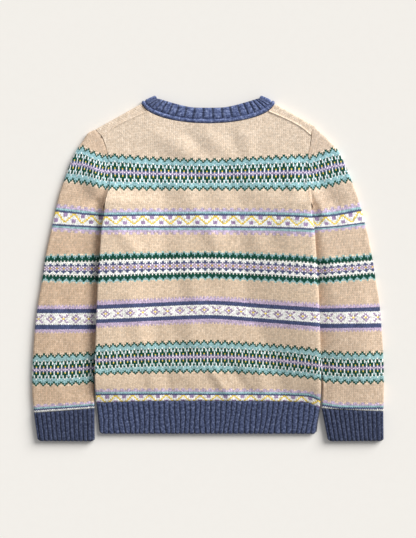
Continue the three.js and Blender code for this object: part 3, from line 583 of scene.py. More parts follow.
def body_lines():
    """The body's courses as lines like the sleeves', from their heights and bows."""
    share = np.array(BODY_BOWS["share"], float)
    at = [row["course"] for row in BODY_BOWS["rows"]]
    columns = list(zip(*(row["bow"] for row in BODY_BOWS["rows"])))
    lines = []
    for course, height in zip(BODY_COURSES["course"], BODY_COURSES["y"]):
        half = body_half((PHOTO_MIDDLE_Y - height) * PIXEL) / PIXEL
        bow = np.array([float(smooth(at, column, course)) for column in columns])
        lines.append({"course": course, "x": PHOTO_MIDDLE_X + share * half, "y": height + bow})
    return lines


def hem_drop(x, y):
    """How far the seam between body and hem hangs below its even level, fading out above and below it."""
    share = x / body_half(y)
    bow = smooth(BODY_BOWS["share"], BODY_BOWS["rows"][0]["bow"], share) * PIXEL
    above = 1 - smoothstep(y, HEM_JOIN_Y, HEM_JOIN_Y + DROP_REACH)
    return bow * above * smoothstep(y, HEM_BOTTOM_Y + 4, HEM_JOIN_Y)


def knitting(x, y, courses, wales):
    """Wale and course of points on a piece, from its lines and its wale table."""
    px, py = to_pixels(x, y)
    numbers = [line["course"] for line in courses]
    heights = [smooth(line["x"], line["y"], px) for line in courses]
    beyond = COURSES_BEYOND * PLAIN_COURSE
    numbers = [numbers[0] - COURSES_BEYOND, *numbers, numbers[-1] + COURSES_BEYOND]
    heights = [heights[0] + beyond, *heights, heights[-1] - beyond]
    up = -np.stack(heights)
    number = np.array(numbers, float).reshape((-1,) + (1,) * np.ndim(px))
    slopes = np.diff(number, axis=0) / np.diff(up, axis=0)
    between = 2 * slopes[:-1] * slopes[1:] / (slopes[:-1] + slopes[1:])
    tangents = np.concatenate([slopes[:1], between, slopes[-1:]])
    course = number[0] + (-py - up[0]) * slopes[0]
    for k in range(len(numbers) - 1):
        width = up[k + 1] - up[k]
        t = (-py - up[k]) / width
        ease = t * t * (3 - 2 * t)
        bend = t * (1 - t) ** 2 * width * tangents[k] + t * t * (t - 1) * width * tangents[k + 1]
        course = np.where((t >= 0) & (t < 1), lerp(number[k], number[k + 1], ease) + bend, course)
    course = np.where(-py >= up[-1], number[-1] + (-py - up[-1]) * slopes[-1], course)
    middle = smooth(wales["course"], wales["x"], course)
    pitch = smooth(wales["course"], wales["pitch"], course)
    return (px - middle) / pitch, course


# How the armhole's upper ends lie off their even places, one to each side
SHOULDER_TIPS = [
    {"x": -152.6, "y": 198.3, "move_x": -4.8, "move_y": -2.6, "reach": 20},
    {"x": 152.6, "y": 198.3, "move_x": -4.8, "move_y": 2.6, "reach": 12},
]


def move_tips(points):
    """Points with the armholes' upper ends moved to where the photo has them."""
    moved = points.copy()
    for tip in SHOULDER_TIPS:
        away = np.hypot(points[..., 0] - tip["x"], points[..., 1] - tip["y"]) / tip["reach"]
        share = np.exp(-(away**2))
        moved[..., 0] += tip["move_x"] * share
        moved[..., 1] += tip["move_y"] * share
    return moved


def wall_mesh(name, outer, inner, outer_map, inner_map, ring=False):
    """One closed wall from a grid of outer points and a grid of inner points, with its map."""
    rows, columns = outer.shape[:2]
    points = np.concatenate([outer.reshape(-1, 3), inner.reshape(-1, 3)])
    maps = np.concatenate([outer_map.reshape(-1, 2), inner_map.reshape(-1, 2)])
    ids = np.arange(rows * columns).reshape(rows, columns)
    far = ids + rows * columns
    if ring:
        ids = np.concatenate([ids, ids[:, :1]], axis=1)
        far = np.concatenate([far, far[:, :1]], axis=1)

    def quads(a, b, c, d):
        return np.stack([a, b, c, d], axis=-1).reshape(-1, 4)

    faces = [
        quads(ids[:-1, :-1], ids[:-1, 1:], ids[1:, 1:], ids[1:, :-1]),
        quads(far[:-1, :-1], far[1:, :-1], far[1:, 1:], far[:-1, 1:]),
        quads(ids[0, :-1], far[0, :-1], far[0, 1:], ids[0, 1:]),
        quads(ids[-1, :-1], ids[-1, 1:], far[-1, 1:], far[-1, :-1]),
    ]
    if not ring:
        faces.append(quads(ids[:-1, 0], ids[1:, 0], far[1:, 0], far[:-1, 0]))
        faces.append(quads(ids[:-1, -1], far[:-1, -1], far[1:, -1], ids[1:, -1]))
    return mesh_object(name, points, np.concatenate(faces), maps)


def mesh_object(name, points, faces, maps):
    """A smooth-shaded mesh object in metres, with the knitting's map and its faces turned outwards."""
    a, b, c, d = (points[faces[:, i]] for i in range(4))
    volume = np.sum(a * np.cross(b, c)) + np.sum(a * np.cross(c, d))
    if volume < 0:
        faces = faces[:, ::-1]
    mesh = bpy.data.meshes.new(name)
    mesh.from_pydata(((points + (0, SHIFT_Y, 0)) * MM).tolist(), [], faces.tolist())
    layer = mesh.uv_layers.new(name="knit")
    corners = np.empty(len(mesh.loops), np.int32)
    mesh.loops.foreach_get("vertex_index", corners)
    layer.data.foreach_set("uv", maps[corners].astype(np.float32).ravel())
    mesh.polygons.foreach_set("use_smooth", np.ones(len(mesh.polygons), bool))
    mesh.update()
    made = bpy.data.objects.new(name, mesh)
    bpy.context.scene.collection.objects.link(made)
    return made


# Columns of the panels' grids, as shares of the half-width
HALF_COLUMNS = np.concatenate([
    np.linspace(0, 0.44, 45),
    np.linspace(0.45, 0.525, 12),
    np.linspace(0.54, 0.62, 12),
    np.linspace(0.63, 0.96, 40),
    [0.966, 0.972, 0.978, 0.983, 0.987, 0.990, 0.993, 0.9955, 0.9975, 0.999, 1],
])
COLUMNS = np.concatenate([-HALF_COLUMNS[:0:-1], HALF_COLUMNS])
SIDES = np.where(COLUMNS < 0, -1.0, 1.0)
# Rows: levels up to the underarm, then shares of the way to the top, and past the shoulder's fold
LEVELS = np.linspace(HEM_JOIN_Y + SEAM_GAP / 2, UNDERARM_Y, 120)
NEAR_SEAM = [0.951, 0.961, 0.969, 0.976, 0.982, 0.987, 0.9915, 0.996, 1]
UPPER = np.concatenate([np.linspace(0, 0.94, 44)[1:], NEAR_SEAM])
FLAP = np.concatenate([np.linspace(0, 0.78, 20)[1:], [0.82, 0.86, 0.89, 0.92, 0.945, 0.965, 0.983, 1]])


def body_map(x, y):
    """Wale and course of places on the body."""
    return np.stack(knitting(x, y, body_lines(), BODY_WALES), axis=-1)


def panel_rows(upper):
    """Levels and shares for each row of a panel's grid."""
    level = np.concatenate([LEVELS, np.full(len(upper), np.nan)])[:, None]
    up = np.concatenate([np.zeros(len(LEVELS)), upper])[:, None]
    return level, up


def edge_walls(x, y, outer_z, inner_z, seam_z):
    """Outer and inner points of a panel whose side seam lies half-way between the two walls."""
    is_edge = np.abs(COLUMNS)[None, :] == 1
    round_off = np.where(is_edge, roundness(y), 0)
    shrink = 1 - WALL * roundness(y) / body_half(y)
    outer = np.stack([x, y, lerp(outer_z, seam_z, round_off)], axis=-1)
    inner = np.stack([x * shrink, y, lerp(inner_z, seam_z, round_off)], axis=-1)
    return outer, inner


SEAM_RIDGE = 1.35  # height of the linked seam's ridge
SEAM_RIDGE_WIDTH = 1.5
THIN_WALL = 1.8  # the back's least height above the front


def make_back():
    """The back panel, with its ridge along the shoulder seams."""
    across = np.abs(COLUMNS)[None, :]
    level, up = panel_rows(UPPER)
    top = back_top(across)
    x, y = on_panel(across, top, up, level)
    x = x * SIDES[None, :]
    gap = slack(x, y)
    under = lift(x, y) + WALL + gap
    below_top = np.hypot(top[..., 0] - np.abs(x), top[..., 1] - y)
    ridge = SEAM_RIDGE * np.exp(-((below_top / SEAM_RIDGE_WIDTH) ** 2)) * smoothstep(across, 0.5, 0.6)
    folds = body_folds(x, y)
    crown = upper_lift(x, y) + 2 * WALL + gap + folds + armhole_bumps(x, y)
    outer_z = np.maximum(crown, lift(x, y) + WALL + THIN_WALL) - side_bend(x, y) + ridge
    under = np.maximum(under + np.minimum(folds, 0), lift(x, y) + WALL + SEAM_GAP)
    seam = lift(x, y) + WALL + gap / 2 + SEAM_GAP / 2
    outer, inner = (move_tips(grid) for grid in edge_walls(x, y - hem_drop(x, y), outer_z, under, seam))
    maps = body_map(outer[..., 0], outer[..., 1])
    return wall_mesh("back_knit", outer, inner, maps, maps)


def make_front():
    """The front panel, which rolls over the shoulders to the seams."""
    across = np.abs(COLUMNS)[None, :]
    top = front_top(across)
    start = share_before_fold(across, top)
    up = np.concatenate([
        np.zeros((len(LEVELS), len(COLUMNS))),
        UPPER[:, None] * start,
        lerp(start, 1, FLAP[:, None]),
    ])
    level = np.concatenate([LEVELS, np.full(len(UPPER) + len(FLAP), np.nan)])[:, None]
    x, y = on_panel(across, top, up, level)
    past = past_roll(x, y)
    folded = (np.arange(len(up))[:, None] >= len(LEVELS)) & (past > 0)
    under = lift(x, y)
    gap = slack(x * SIDES[None, :], y)
    seam = under + WALL + gap / 2 - SEAM_GAP / 2
    flat_x = x * SIDES[None, :]
    lower_y = y - hem_drop(flat_x, y)
    outer, inner = edge_walls(flat_x, lower_y, under + side_bend(flat_x, y), under + WALL, seam)
    turn = np.minimum(past / ROLL_RADIUS, math.pi)
    beyond = np.maximum(past - ROLL_LENGTH, 0)
    to_seam = np.hypot(top[..., 0] - x, top[..., 1] - y)
    ridge = SEAM_RIDGE * np.exp(-((to_seam / SEAM_RIDGE_WIDTH) ** 2)) * (beyond > 0)
    for grid, radius, extra in ((outer, FOLD_RADIUS, ridge), (inner, FOLD_RADIUS - WALL, 0 * ridge)):
        move = radius * square_off(np.sin(turn).clip(0)) - beyond - past
        rolled = np.stack([
            SIDES[None, :] * (x + FOLD_OUT[0] * move),
            y + FOLD_OUT[1] * move,
            FOLD_RADIUS - radius * square_off(np.cos(turn)) + extra,
        ], axis=-1)
        grid[folded] = rolled[folded]
        grid[:] = move_tips(grid)
    maps = body_map(flat_x, lower_y)
    return wall_mesh("front_knit", outer, inner, maps, maps)


def flat_tube(width, radius, across, steps, under):
    """Section of a flattened tube: places across and up, round the fold, over the top and back below."""
    turn = (np.arange(steps + 1) / steps - 0.5) * math.pi
    inwards, upwards = square_off(np.cos(turn).clip(0)), square_off(np.sin(turn))
    a = [FOLD_RADIUS - radius * inwards]
    up = [radius * upwards]
    face = [np.zeros(steps + 1)]
    inside = np.arange(1, across + 1) / (across + 1)
    a.append(lerp(FOLD_RADIUS, width - FOLD_RADIUS, inside))
    up.append(np.full(across, radius))
    face.append(np.ones(across))
    a.append(width - FOLD_RADIUS + radius * inwards[::-1])
    up.append(radius * upwards[::-1])
    face.append(np.zeros(steps + 1))
    inside = np.arange(under, 0, -1) / (under + 1)
    a.append(lerp(FOLD_RADIUS, width - FOLD_RADIUS, inside))
    up.append(np.full(under, -radius))
    face.append(np.zeros(under))
    return np.concatenate(a), np.concatenate(up), np.concatenate(face)


SLEEVE_GRID = {"across": 64, "steps": 9, "under": 24}
SLEEVE_STEPS = np.concatenate([np.linspace(0, 2, 33), np.linspace(2, 17, 166)[1:]])
ARMHOLE_TUCK = 2.0  # the sleeve's edge lies this far under the body's
ARMHOLE_SINK = 0.5
ARMHOLE_TUCK_REACH = 0.3


def make_sleeve(side):
    """A sleeve: a flattened tube from the armhole to the cuff."""
    sign = CUFFS[side]["sign"]
    index = np.arange(len(SLEEVE_SECTIONS["outer_y"]))
    outer_ys = [*SLEEVE_SECTIONS["outer_y"][:-1], CUFFS[side]["outer_join"]]
    inner_ys = [*SLEEVE_SECTIONS["inner_y"][:-1], CUFFS[side]["inner_join"]]
    grids = {"outer": [], "inner": []}
    first_outer_y = SLEEVE_SECTIONS["outer_y"][0]
    first_inner_y = SLEEVE_SECTIONS["inner_y"][0]
    for i in SLEEVE_STEPS:
        outer_y = smooth(index, outer_ys, i)
        inner_x = smooth(index, SLEEVE_SECTIONS["inner_x"], i)
        inner_y = smooth(index, inner_ys, i)
        raised = smooth(index, SLEEVE_SECTIONS["raise"], i)
        outer_x = smooth(SLEEVE_OUTER["y"], SLEEVE_OUTER[side], outer_y)
        width = math.hypot(outer_x - inner_x, outer_y - inner_y)
        fade = math.exp(-((i / ARMHOLE_CURVE_REACH) ** 2))
        for key, radius in (("outer", FOLD_RADIUS), ("inner", FOLD_RADIUS - WALL)):
            a, up, face = flat_tube(width, radius, **SLEEVE_GRID)
            t = np.clip(a / width, 0, 1)
            armhole_y = lerp(first_outer_y, first_inner_y, t)
            chord_x = lerp(SLEEVE_OUTER[side][0], SLEEVE_SECTIONS["inner_x"][0], t)
            x = lerp(outer_x, inner_x, t) + (body_half(armhole_y) + ARMHOLE_GAP / 2 - chord_x) * fade
            y = lerp(outer_y, inner_y, t)
            shown = face * smoothstep(x - body_half(y), -7, 1) * smoothstep(i, 0, 1)
            soft = fold_height(SLEEVE_FOLDS[side], sign * x, y) + relief(sign * x, y)
            soft = soft * smoothstep(np.minimum(a, width - a), FOLD_RADIUS, FOLD_FADE)
            reach = smooth(DIPS["y"], DIPS["reach_" + side], y)
            swell = smooth(DIPS["y"], DIPS["swell_" + side], y)
            beside = (1 - np.clip((x - body_half(y)) / reach, 0, 1)) ** 1.8
            free = smoothstep(outer_x - x, 0, 26)
            low = smoothstep(UNDERARM_Y + 6 - y, 0, 22)
            soft = np.maximum(soft + swell * free * low - (SLEEVE_DIP + swell) * beside * low, -SLEEVE_DIP)
            tuck = 1 - smoothstep(i, 0, ARMHOLE_TUCK_REACH)
            x = x - ARMHOLE_TUCK * tuck
            at_seam = lift(body_half(armhole_y), armhole_y) * (1 - smoothstep(i, 0, 1))
            hang = raised * smoothstep(t, 0.75, 1) * smoothstep(i, 0, 1)
            bumps = armhole_bumps(sign * x, y) * smoothstep(up, 0, radius) * smoothstep(a, 0, 12)
            z = FOLD_RADIUS + up + shown * soft + at_seam + hang + bumps - ARMHOLE_SINK * tuck * (up > 0)
            grids[key].append(move_tips(np.stack([sign * x, y, z], axis=-1)))
    outer, inner = np.array(grids["outer"]), np.array(grids["inner"])
    courses, wales = (LEFT_COURSES, LEFT_WALES) if side == "left" else (RIGHT_COURSES, RIGHT_WALES)
    outer_map = np.stack(knitting(outer[..., 0], outer[..., 1], courses, wales), axis=-1)
    inner_map = np.stack(knitting(inner[..., 0], inner[..., 1], courses, wales), axis=-1)
    return wall_mesh("sleeve_" + side + "_knit", outer, inner, outer_map, inner_map, ring=True)


WALES_PER_RIB = 4.0  # two that show on the crown and two that lie in the valley
RIB_COURSE = 2.3  # millimetres from course to course in the ribs
RIB_OFFSET = 10.0  # course at which hem ribs and cuffs start, past the neckband's smooth roll


def rib_profile(phase):
    """Height of a rib over its pitch: a valley at 0 and a broad round crown."""
    away = np.abs(2 * (phase % 1) - 1)
    return (1 - away**2.6) ** 0.9


CORNER_RISE = 2.2  # the lower corners of cuffs and hem are rounded off by this much
CORNER_WIDTH = 4.5
RIB_SCALLOP = 0.7  # the valleys between ribs end this much higher than the crowns
HEM_COLUMNS = HEM_RIBS * 10 + 1
HEM_SWELL = 1.2  # the hem's upper wall stands this much higher than the lower one needs
HEM_ROWS = 24


def make_hem(back):
    """The hem's rib of the back or of the front."""
    place = np.linspace(-1, 1, HEM_COLUMNS)[None, :]
    y = np.linspace(HEM_JOIN_Y - SEAM_GAP / 2, HEM_BOTTOM_Y, HEM_ROWS)[:, None]
    place, y = np.broadcast_arrays(place, y)
    end = np.abs(place) == 1
    x = place * body_half(y)
    hidden_x = place * (body_half(y) - HEM_WALL)
    phase = (place + 1) / 2 * HEM_RIBS + hem_lean(place, y)
    gap = slack(x, y)
    side = 1 if back else -1
    seam = lift(x, y) + HEM_WALL + gap / 2 + side * SEAM_GAP / 2
    edge = smoothstep(1 - np.abs(place), 0, 0.02)
    bottom = smoothstep(y, HEM_BOTTOM_Y, HEM_BOTTOM_Y + 2.2)
    top = smoothstep(HEM_JOIN_Y - y, 0, 2.5)
    if back:
        crown = upper_lift(x, y) + 2 * HEM_WALL + gap + HEM_SWELL - side_bend(x, y) + body_folds(x, y)
        ribs = RIB_RISE * rib_profile(phase) * edge * lerp(0.45, 1, top)
        face = crown + ribs - 1.5 * (1 - bottom) ** 2
        within = lift(hidden_x, y) + HEM_WALL + slack(hidden_x, y)
    else:
        face = lift(x, y) + side_bend(x, y) + 0.5 * (1 - bottom)
        within = lift(hidden_x, y) + HEM_WALL
    corner = 1 - smoothstep((1 - np.abs(place)) * body_half(y), 0, CORNER_WIDTH)
    near_bottom = 1 - smoothstep(y, HEM_BOTTOM_Y, HEM_BOTTOM_Y + 5)
    scallop = RIB_SCALLOP * (1 - rib_profile(phase))
    hung_y = y - hem_drop(x, y) + (CORNER_RISE * corner + scallop) * near_bottom
    outer = np.stack([x, hung_y, np.where(end, seam, face)], axis=-1)
    inner = np.stack([hidden_x, hung_y, np.where(end, seam, within)], axis=-1)
    maps = np.stack([phase * WALES_PER_RIB, RIB_OFFSET + (HEM_JOIN_Y - y) / RIB_COURSE], axis=-1)
    return wall_mesh("hem_rib_back_knit" if back else "hem_rib_front_knit", outer, inner, maps, maps)


def hem_lean(place, y):
    """How far the ribs lean from the vertical, in ribs."""
    down = HEM_JOIN_Y - y
    lean = 0.55 * np.exp(-(((place - 0.35) / 0.4) ** 2))
    return down / (HEM_JOIN_Y - HEM_BOTTOM_Y) * (lean + 0.2 * np.sin(place * 17 + down * 0.11))


def make_cuff(side):
    """A cuff: a short flattened tube with ribs on its upper face."""
    cuff = CUFFS[side]
    top_outer = smooth(SLEEVE_OUTER["y"], SLEEVE_OUTER[side], cuff["outer_join"])
    top_inner = SLEEVE_SECTIONS["inner_x"][-1]
    grids = {"outer": [], "inner": [], "map": [], "inner_map": []}
    for down in np.linspace(0, 1, 24):
        outer_x = lerp(top_outer, cuff["outer_bottom"], down)
        inner_x = lerp(top_inner, cuff["inner_bottom"], down)
        outer_y = lerp(cuff["outer_join"] - SEAM_GAP, CUFF_BOTTOM_Y + CUFF_CORNER_UP, down)
        inner_y = lerp(cuff["inner_join"] - SEAM_GAP, CUFF_BOTTOM_Y, down)
        width = math.hypot(outer_x - inner_x, outer_y - inner_y)
        length = CUFF_BOTTOM_Y - cuff["outer_join"]
        end = smoothstep(1 - down, 0, 0.05)
        start = smoothstep(down, 0, 0.06)
        for key, radius in (("outer", FOLD_RADIUS), ("inner", FOLD_RADIUS - HEM_WALL)):
            a, up, face = flat_tube(width, radius, CUFF_RIBS * 10, 8, 24)
            t = a / width
            phase = (a - FOLD_RADIUS) / (width - 2 * FOLD_RADIUS) * CUFF_RIBS
            shows = (up > 0) * np.clip(up / radius, 0, 1) * (key == "outer")
            rise = RIB_RISE * rib_profile(phase) * shows
            ease = np.where(up > 0, lerp(0.72, 1, end), 1)
            z = FOLD_RADIUS + up * ease + rise * lerp(0.45, 1, start * end)
            x = lerp(outer_x, inner_x, t)
            corner = 1 - smoothstep(np.minimum(a, width - a), 0, CORNER_WIDTH)
            scallop = RIB_SCALLOP * (1 - rib_profile(phase)) * face
            y = lerp(outer_y, inner_y, t) + (CORNER_RISE * corner + scallop) * smoothstep(down, 0.9, 1)
            grids[key].append(np.stack([cuff["sign"] * x, y, z], axis=-1))
            name = "map" if key == "outer" else "inner_map"
            courses = np.full(len(a), RIB_OFFSET - down * length / RIB_COURSE)
            grids[name].append(np.stack([phase * WALES_PER_RIB, courses], axis=-1))
    g = {key: np.array(grid) for key, grid in grids.items()}
    return wall_mesh("cuff_" + side + "_knit", g["outer"], g["inner"], g["map"], g["inner_map"], ring=True)


# Across the neckband's strip: place from the linked edge to the free edge, side, and what each rib adds
BAND_SECTION = {
    "at": [0, 0.02, 0.05, 0.09, 0.13, 0.17, 0.205, 0.235, 0.26, 0.29, 0.33, 0.45, 0.6, 0.75, 0.88, 0.94,
           0.975, 0.995, 1, 0.99, 0.95, 0.85, 0.5, 0.2, 0.06, 0.01],
    "side": [0, 0.28, 0.42, 0.5, 0.5, 0.5, 0.5, 0.5, 0.5, 0.5, 0.5, 0.5, 0.5, 0.5, 0.5, 0.47, 0.38, 0.22,
             0, -0.3, -0.45, -0.5, -0.5, -0.5, -0.5, -0.3],
    "roll": [0, 0.35, 0.9, 1.35, 1.5, 1.3, 0.7, -0.3, -0.5, 0, 0.1, 0, 0, 0, 0, 0, 0, 0,
             0, 0, 0, 0, 0, 0, 0, 0],
    "rib": [0, 0, 0, 0, 0, 0, 0, 0, 0.1, 0.4, 0.75, 0.95, 1, 1, 1, 0.9, 0.7, 0.4,
            0.15, 0, 0, 0, 0, 0, 0, 0],
}


def make_neckband():
    """The neckband's ring: the back's strip above and the front's below."""
    high = BAND_HEIGHT - BAND_THICKNESS / 2
    low = BAND_THICKNESS / 2
    links, frees, ups, phases = [], [], [], []

    def flat_station(table, place, z, phase):
        side = -1.0 if place < 0 else 1.0
        for key, into in (("link", links), ("free", frees)):
            x, y = catmull(table[key], abs(place))
            into.append([side * x, y, z])
        ups.append([0, 0, 1.0 if z > FOLD_RADIUS else -1.0])
        phases.append(phase)

    def turn_over(side, first, last, start):
        link_x, link_y = NECK_BACK["link"][-1]
        free_x, free_y = NECK_BACK["free"][-1]
        width = math.hypot(link_x - free_x, link_y - free_y)
        out = np.array([side * (free_y - link_y) / width, (link_x - free_x) / width, 0])
        middle = (high + low) / 2
        for i in range(1, 12):
            turn = lerp(first, last, i / 12) * math.pi
            up = out * math.sin(turn) + np.array([0, 0, math.cos(turn)])
            move = up * (high - low) / 2
            links.append(list(np.array([side * link_x, link_y, middle]) + move))
            frees.append(list(np.array([side * free_x, free_y, middle]) + move))
            ups.append(list(up))
            phases.append(start + i / 12)

    count = NECK_RIBS * 12
    for i in range(count + 1):
        flat_station(NECK_BACK, 2 * i / count - 1, high, i / 12)
    turn_over(1, 0, 1, NECK_RIBS)
    for i in range(120, -121, -1):
        flat_station(NECK_FRONT, i / 120, low, NECK_RIBS + 1 + (120 - i) / 10)
    turn_over(-1, 1, 0, NECK_RIBS + 25)
    link, free, up = np.array(links)[:, None], np.array(frees)[:, None], np.array(ups)[:, None]
    phase = np.array(phases)[:, None]
    at, side, roll, rib = (np.array(BAND_SECTION[key])[None, :] for key in ("at", "side", "roll", "rib"))
    proud = np.clip((up[..., 2] + 1) / 0.6, 0, 1) * (roll + rib * RIB_RISE * rib_profile(phase))
    points = lerp(link, free, at[..., None]) + up * (side * BAND_THICKNESS + proud)[..., None]
    rings, around = points.shape[:2]
    ids = np.arange(rings * around).reshape(rings, around)
    ids = np.concatenate([ids, ids[:1]])
    ids = np.concatenate([ids, ids[:, :1]], axis=1)
    faces = np.stack([ids[:-1, :-1], ids[1:, :-1], ids[1:, 1:], ids[:-1, 1:]], axis=-1).reshape(-1, 4)
    width = np.linalg.norm(free - link, axis=-1)
    maps = np.stack(np.broadcast_arrays(phase * WALES_PER_RIB, at * width / RIB_COURSE), axis=-1)
    return mesh_object("neckband_knit", points.reshape(-1, 3), faces, maps.reshape(-1, 2))


class Nodes:
    """Short ways to add and join a material's nodes."""

    def __init__(self, name):
        self.material = bpy.data.materials.new(name)
        self.material.use_nodes = True
        self.tree = self.material.node_tree
        self.tree.nodes.clear()

    def put(self, socket, value):
        if isinstance(value, bpy.types.NodeSocket):
            self.tree.links.new(value, socket)
        else:
            socket.default_value = value

    def add(self, kind, inputs=None, **settings):
        node = self.tree.nodes.new(kind)
        for key, value in settings.items():
            setattr(node, key, value)
        for key, value in (inputs or {}).items():
            self.put(node.inputs[key], value)
        return node

    def math(self, operation, a, b=0.0, c=0.0):
        return self.add("ShaderNodeMath", {0: a, 1: b, 2: c}, operation=operation).outputs[0]

    def grey(self, value):
        return self.add("ShaderNodeCombineColor", {0: value, 1: value, 2: value}).outputs[0]

    def blend(self, kind, share, a, b):
        node = self.add("ShaderNodeMix", data_type="RGBA", blend_type=kind)
        self.put(node.inputs["Factor"], share)
        self.put(node.inputs["A"], a)
        self.put(node.inputs["B"], b)
        return node.outputs["Result"]

    def ramp(self, share, colours, steps):
        """A ramp whose stops are equal steps, each with its own colour."""
        node = self.add("ShaderNodeValToRGB", {0: share})
        ramp = node.color_ramp
        ramp.interpolation = "CONSTANT" if steps else "LINEAR"
        runs = [(i, c) for i, c in enumerate(colours) if not steps or i == 0 or colours[i - 1] != c]
        while len(ramp.elements) < len(runs):
            ramp.elements.new(1.0)
        for element, (i, colour) in zip(ramp.elements, runs):
            element.position = i / len(colours) if steps else i / (len(colours) - 1)
            element.color = (*colour, 1.0)
        return node.outputs[0]

    def noise(self, vector, scale, detail=2.0, roughness=0.5):
        node = self.add("ShaderNodeTexNoise", {"Vector": vector, "Scale": scale, "Detail": detail,
                                               "Roughness": roughness})
        return node.outputs["Fac"]

    def vector(self, x, y, z=0.0):
        return self.add("ShaderNodeCombineXYZ", {0: x, 1: y, 2: z}).outputs[0]


def chart_colour(n, chart, row, wale, first, middle):
    """Colour that a chart gives at a course and wale, and whether the course is in its band."""
    rows = chart["rows"]
    wide = len(rows[0])
    if chart["mirrored"]:
        height = n.math("ABSOLUTE", n.math("SUBTRACT", row, first + len(rows) - 1))
    else:
        height = n.math("SUBTRACT", row, first)
    offset = math.floor(middle) + 1 if chart["half"] else middle
    place = n.math("FLOORED_MODULO", n.math("SUBTRACT", wale, offset), chart["period"])
    last = chart["period"] - (1 if chart["half"] else 0)
    away = n.math("MINIMUM", place, n.math("SUBTRACT", last, place))
    cells = len(rows) * wide
    index = n.math("ADD", n.math("MULTIPLY", height, wide), n.math("ADD", away, 0.5))
    colours = [YARNS[key] for line in rows for key in line]
    colour = n.ramp(n.math("DIVIDE", index, cells), colours, True)
    above = n.math("GREATER_THAN", height, -0.5)
    inside = n.math("MULTIPLY", above, n.math("LESS_THAN", height, len(rows) - 0.5))
    return colour, inside


def pattern_colour(n, side, plain, course, wale, mottle):
    """Colour of the yarn at a course and wale, over every band that a piece has."""
    colour = plain
    for band in BANDS:
        if band[side] is not None:
            chart = CHARTS[band["chart"]]
            own, inside = chart_colour(n, chart, course, wale, band["first"], band[side])
            colour = n.blend("MIX", inside, colour, n.blend("MULTIPLY", 1.0, own, mottle))
    return colour


STITCH_DEPTH = 0.62  # how far a stitch's legs reach up from its foot, in courses
# How far the stitches stand up, in metres, and the bloom of the wool
KNIT_DEPTH = 0.0006
KNIT_SHEEN = 0.06
RIB_DEPTH = 0.0007
RIB_SHEEN = 0.12


def stitches(n, u, v):
    """Wale and course of the stitch at a point, and how far it stands up."""
    shifted = n.math("ADD", u, 0.5)
    wale = n.math("FLOOR", shifted)
    across = n.math("SUBTRACT", shifted, wale)
    side = n.math("ABSOLUTE", n.math("MULTIPLY_ADD", across, 2.0, -1.0))
    raised = n.math("SUBTRACT", v, n.math("MULTIPLY", n.math("SUBTRACT", side, 0.5), STITCH_DEPTH))
    course = n.math("FLOOR", raised)
    up = n.math("SUBTRACT", raised, course)
    gap = n.math("MULTIPLY_ADD", n.math("POWER", side, 3.0), -0.6, 1.0)
    groove = n.math("SUBTRACT", 1.0, n.math("POWER", n.math("SUBTRACT", 1.0, side), 3.0))
    leg = n.math("MULTIPLY", gap, n.math("MULTIPLY_ADD", groove, 0.3, 0.7))
    body = n.math("SINE", n.math("MULTIPLY", up, math.pi))
    height = n.math("MULTIPLY", leg, n.math("MULTIPLY_ADD", body, 0.4, 0.6))
    return wale, course, height


def cloth_surface(n, colour, height, depth, sheen):
    """The shader that all knitting shares: matt wool with a soft bloom and raised stitches."""
    bump = n.add("ShaderNodeBump", {"Strength": 1.0, "Distance": depth, "Height": height})
    shader = n.add("ShaderNodeBsdfPrincipled", {
        "Base Color": colour, "Roughness": 0.92, "Specular IOR Level": 0.2,
        "Sheen Weight": sheen, "Sheen Roughness": 0.55, "Normal": bump.outputs[0],
    })
    n.add("ShaderNodeOutputMaterial", {"Surface": shader.outputs[0]})
    return n.material


PAINTED_LIGHT_UPWARDS = 0.16  # painted light: the wool is drawn this much paler at the shoulders than at the hem
COURSES_HIGH = 190
YOKE_START = 95  # course from which painted light makes the yoke paler still
YOKE_REACH = 70
YOKE_PAINTED_LIGHT = (0.04, 0.09, 0.16)  # painted light on the yoke, by this much in red, green and blue
YARN_SPREAD = 0.2  # a dark stitch covers this much of its lighter neighbours, in stitches


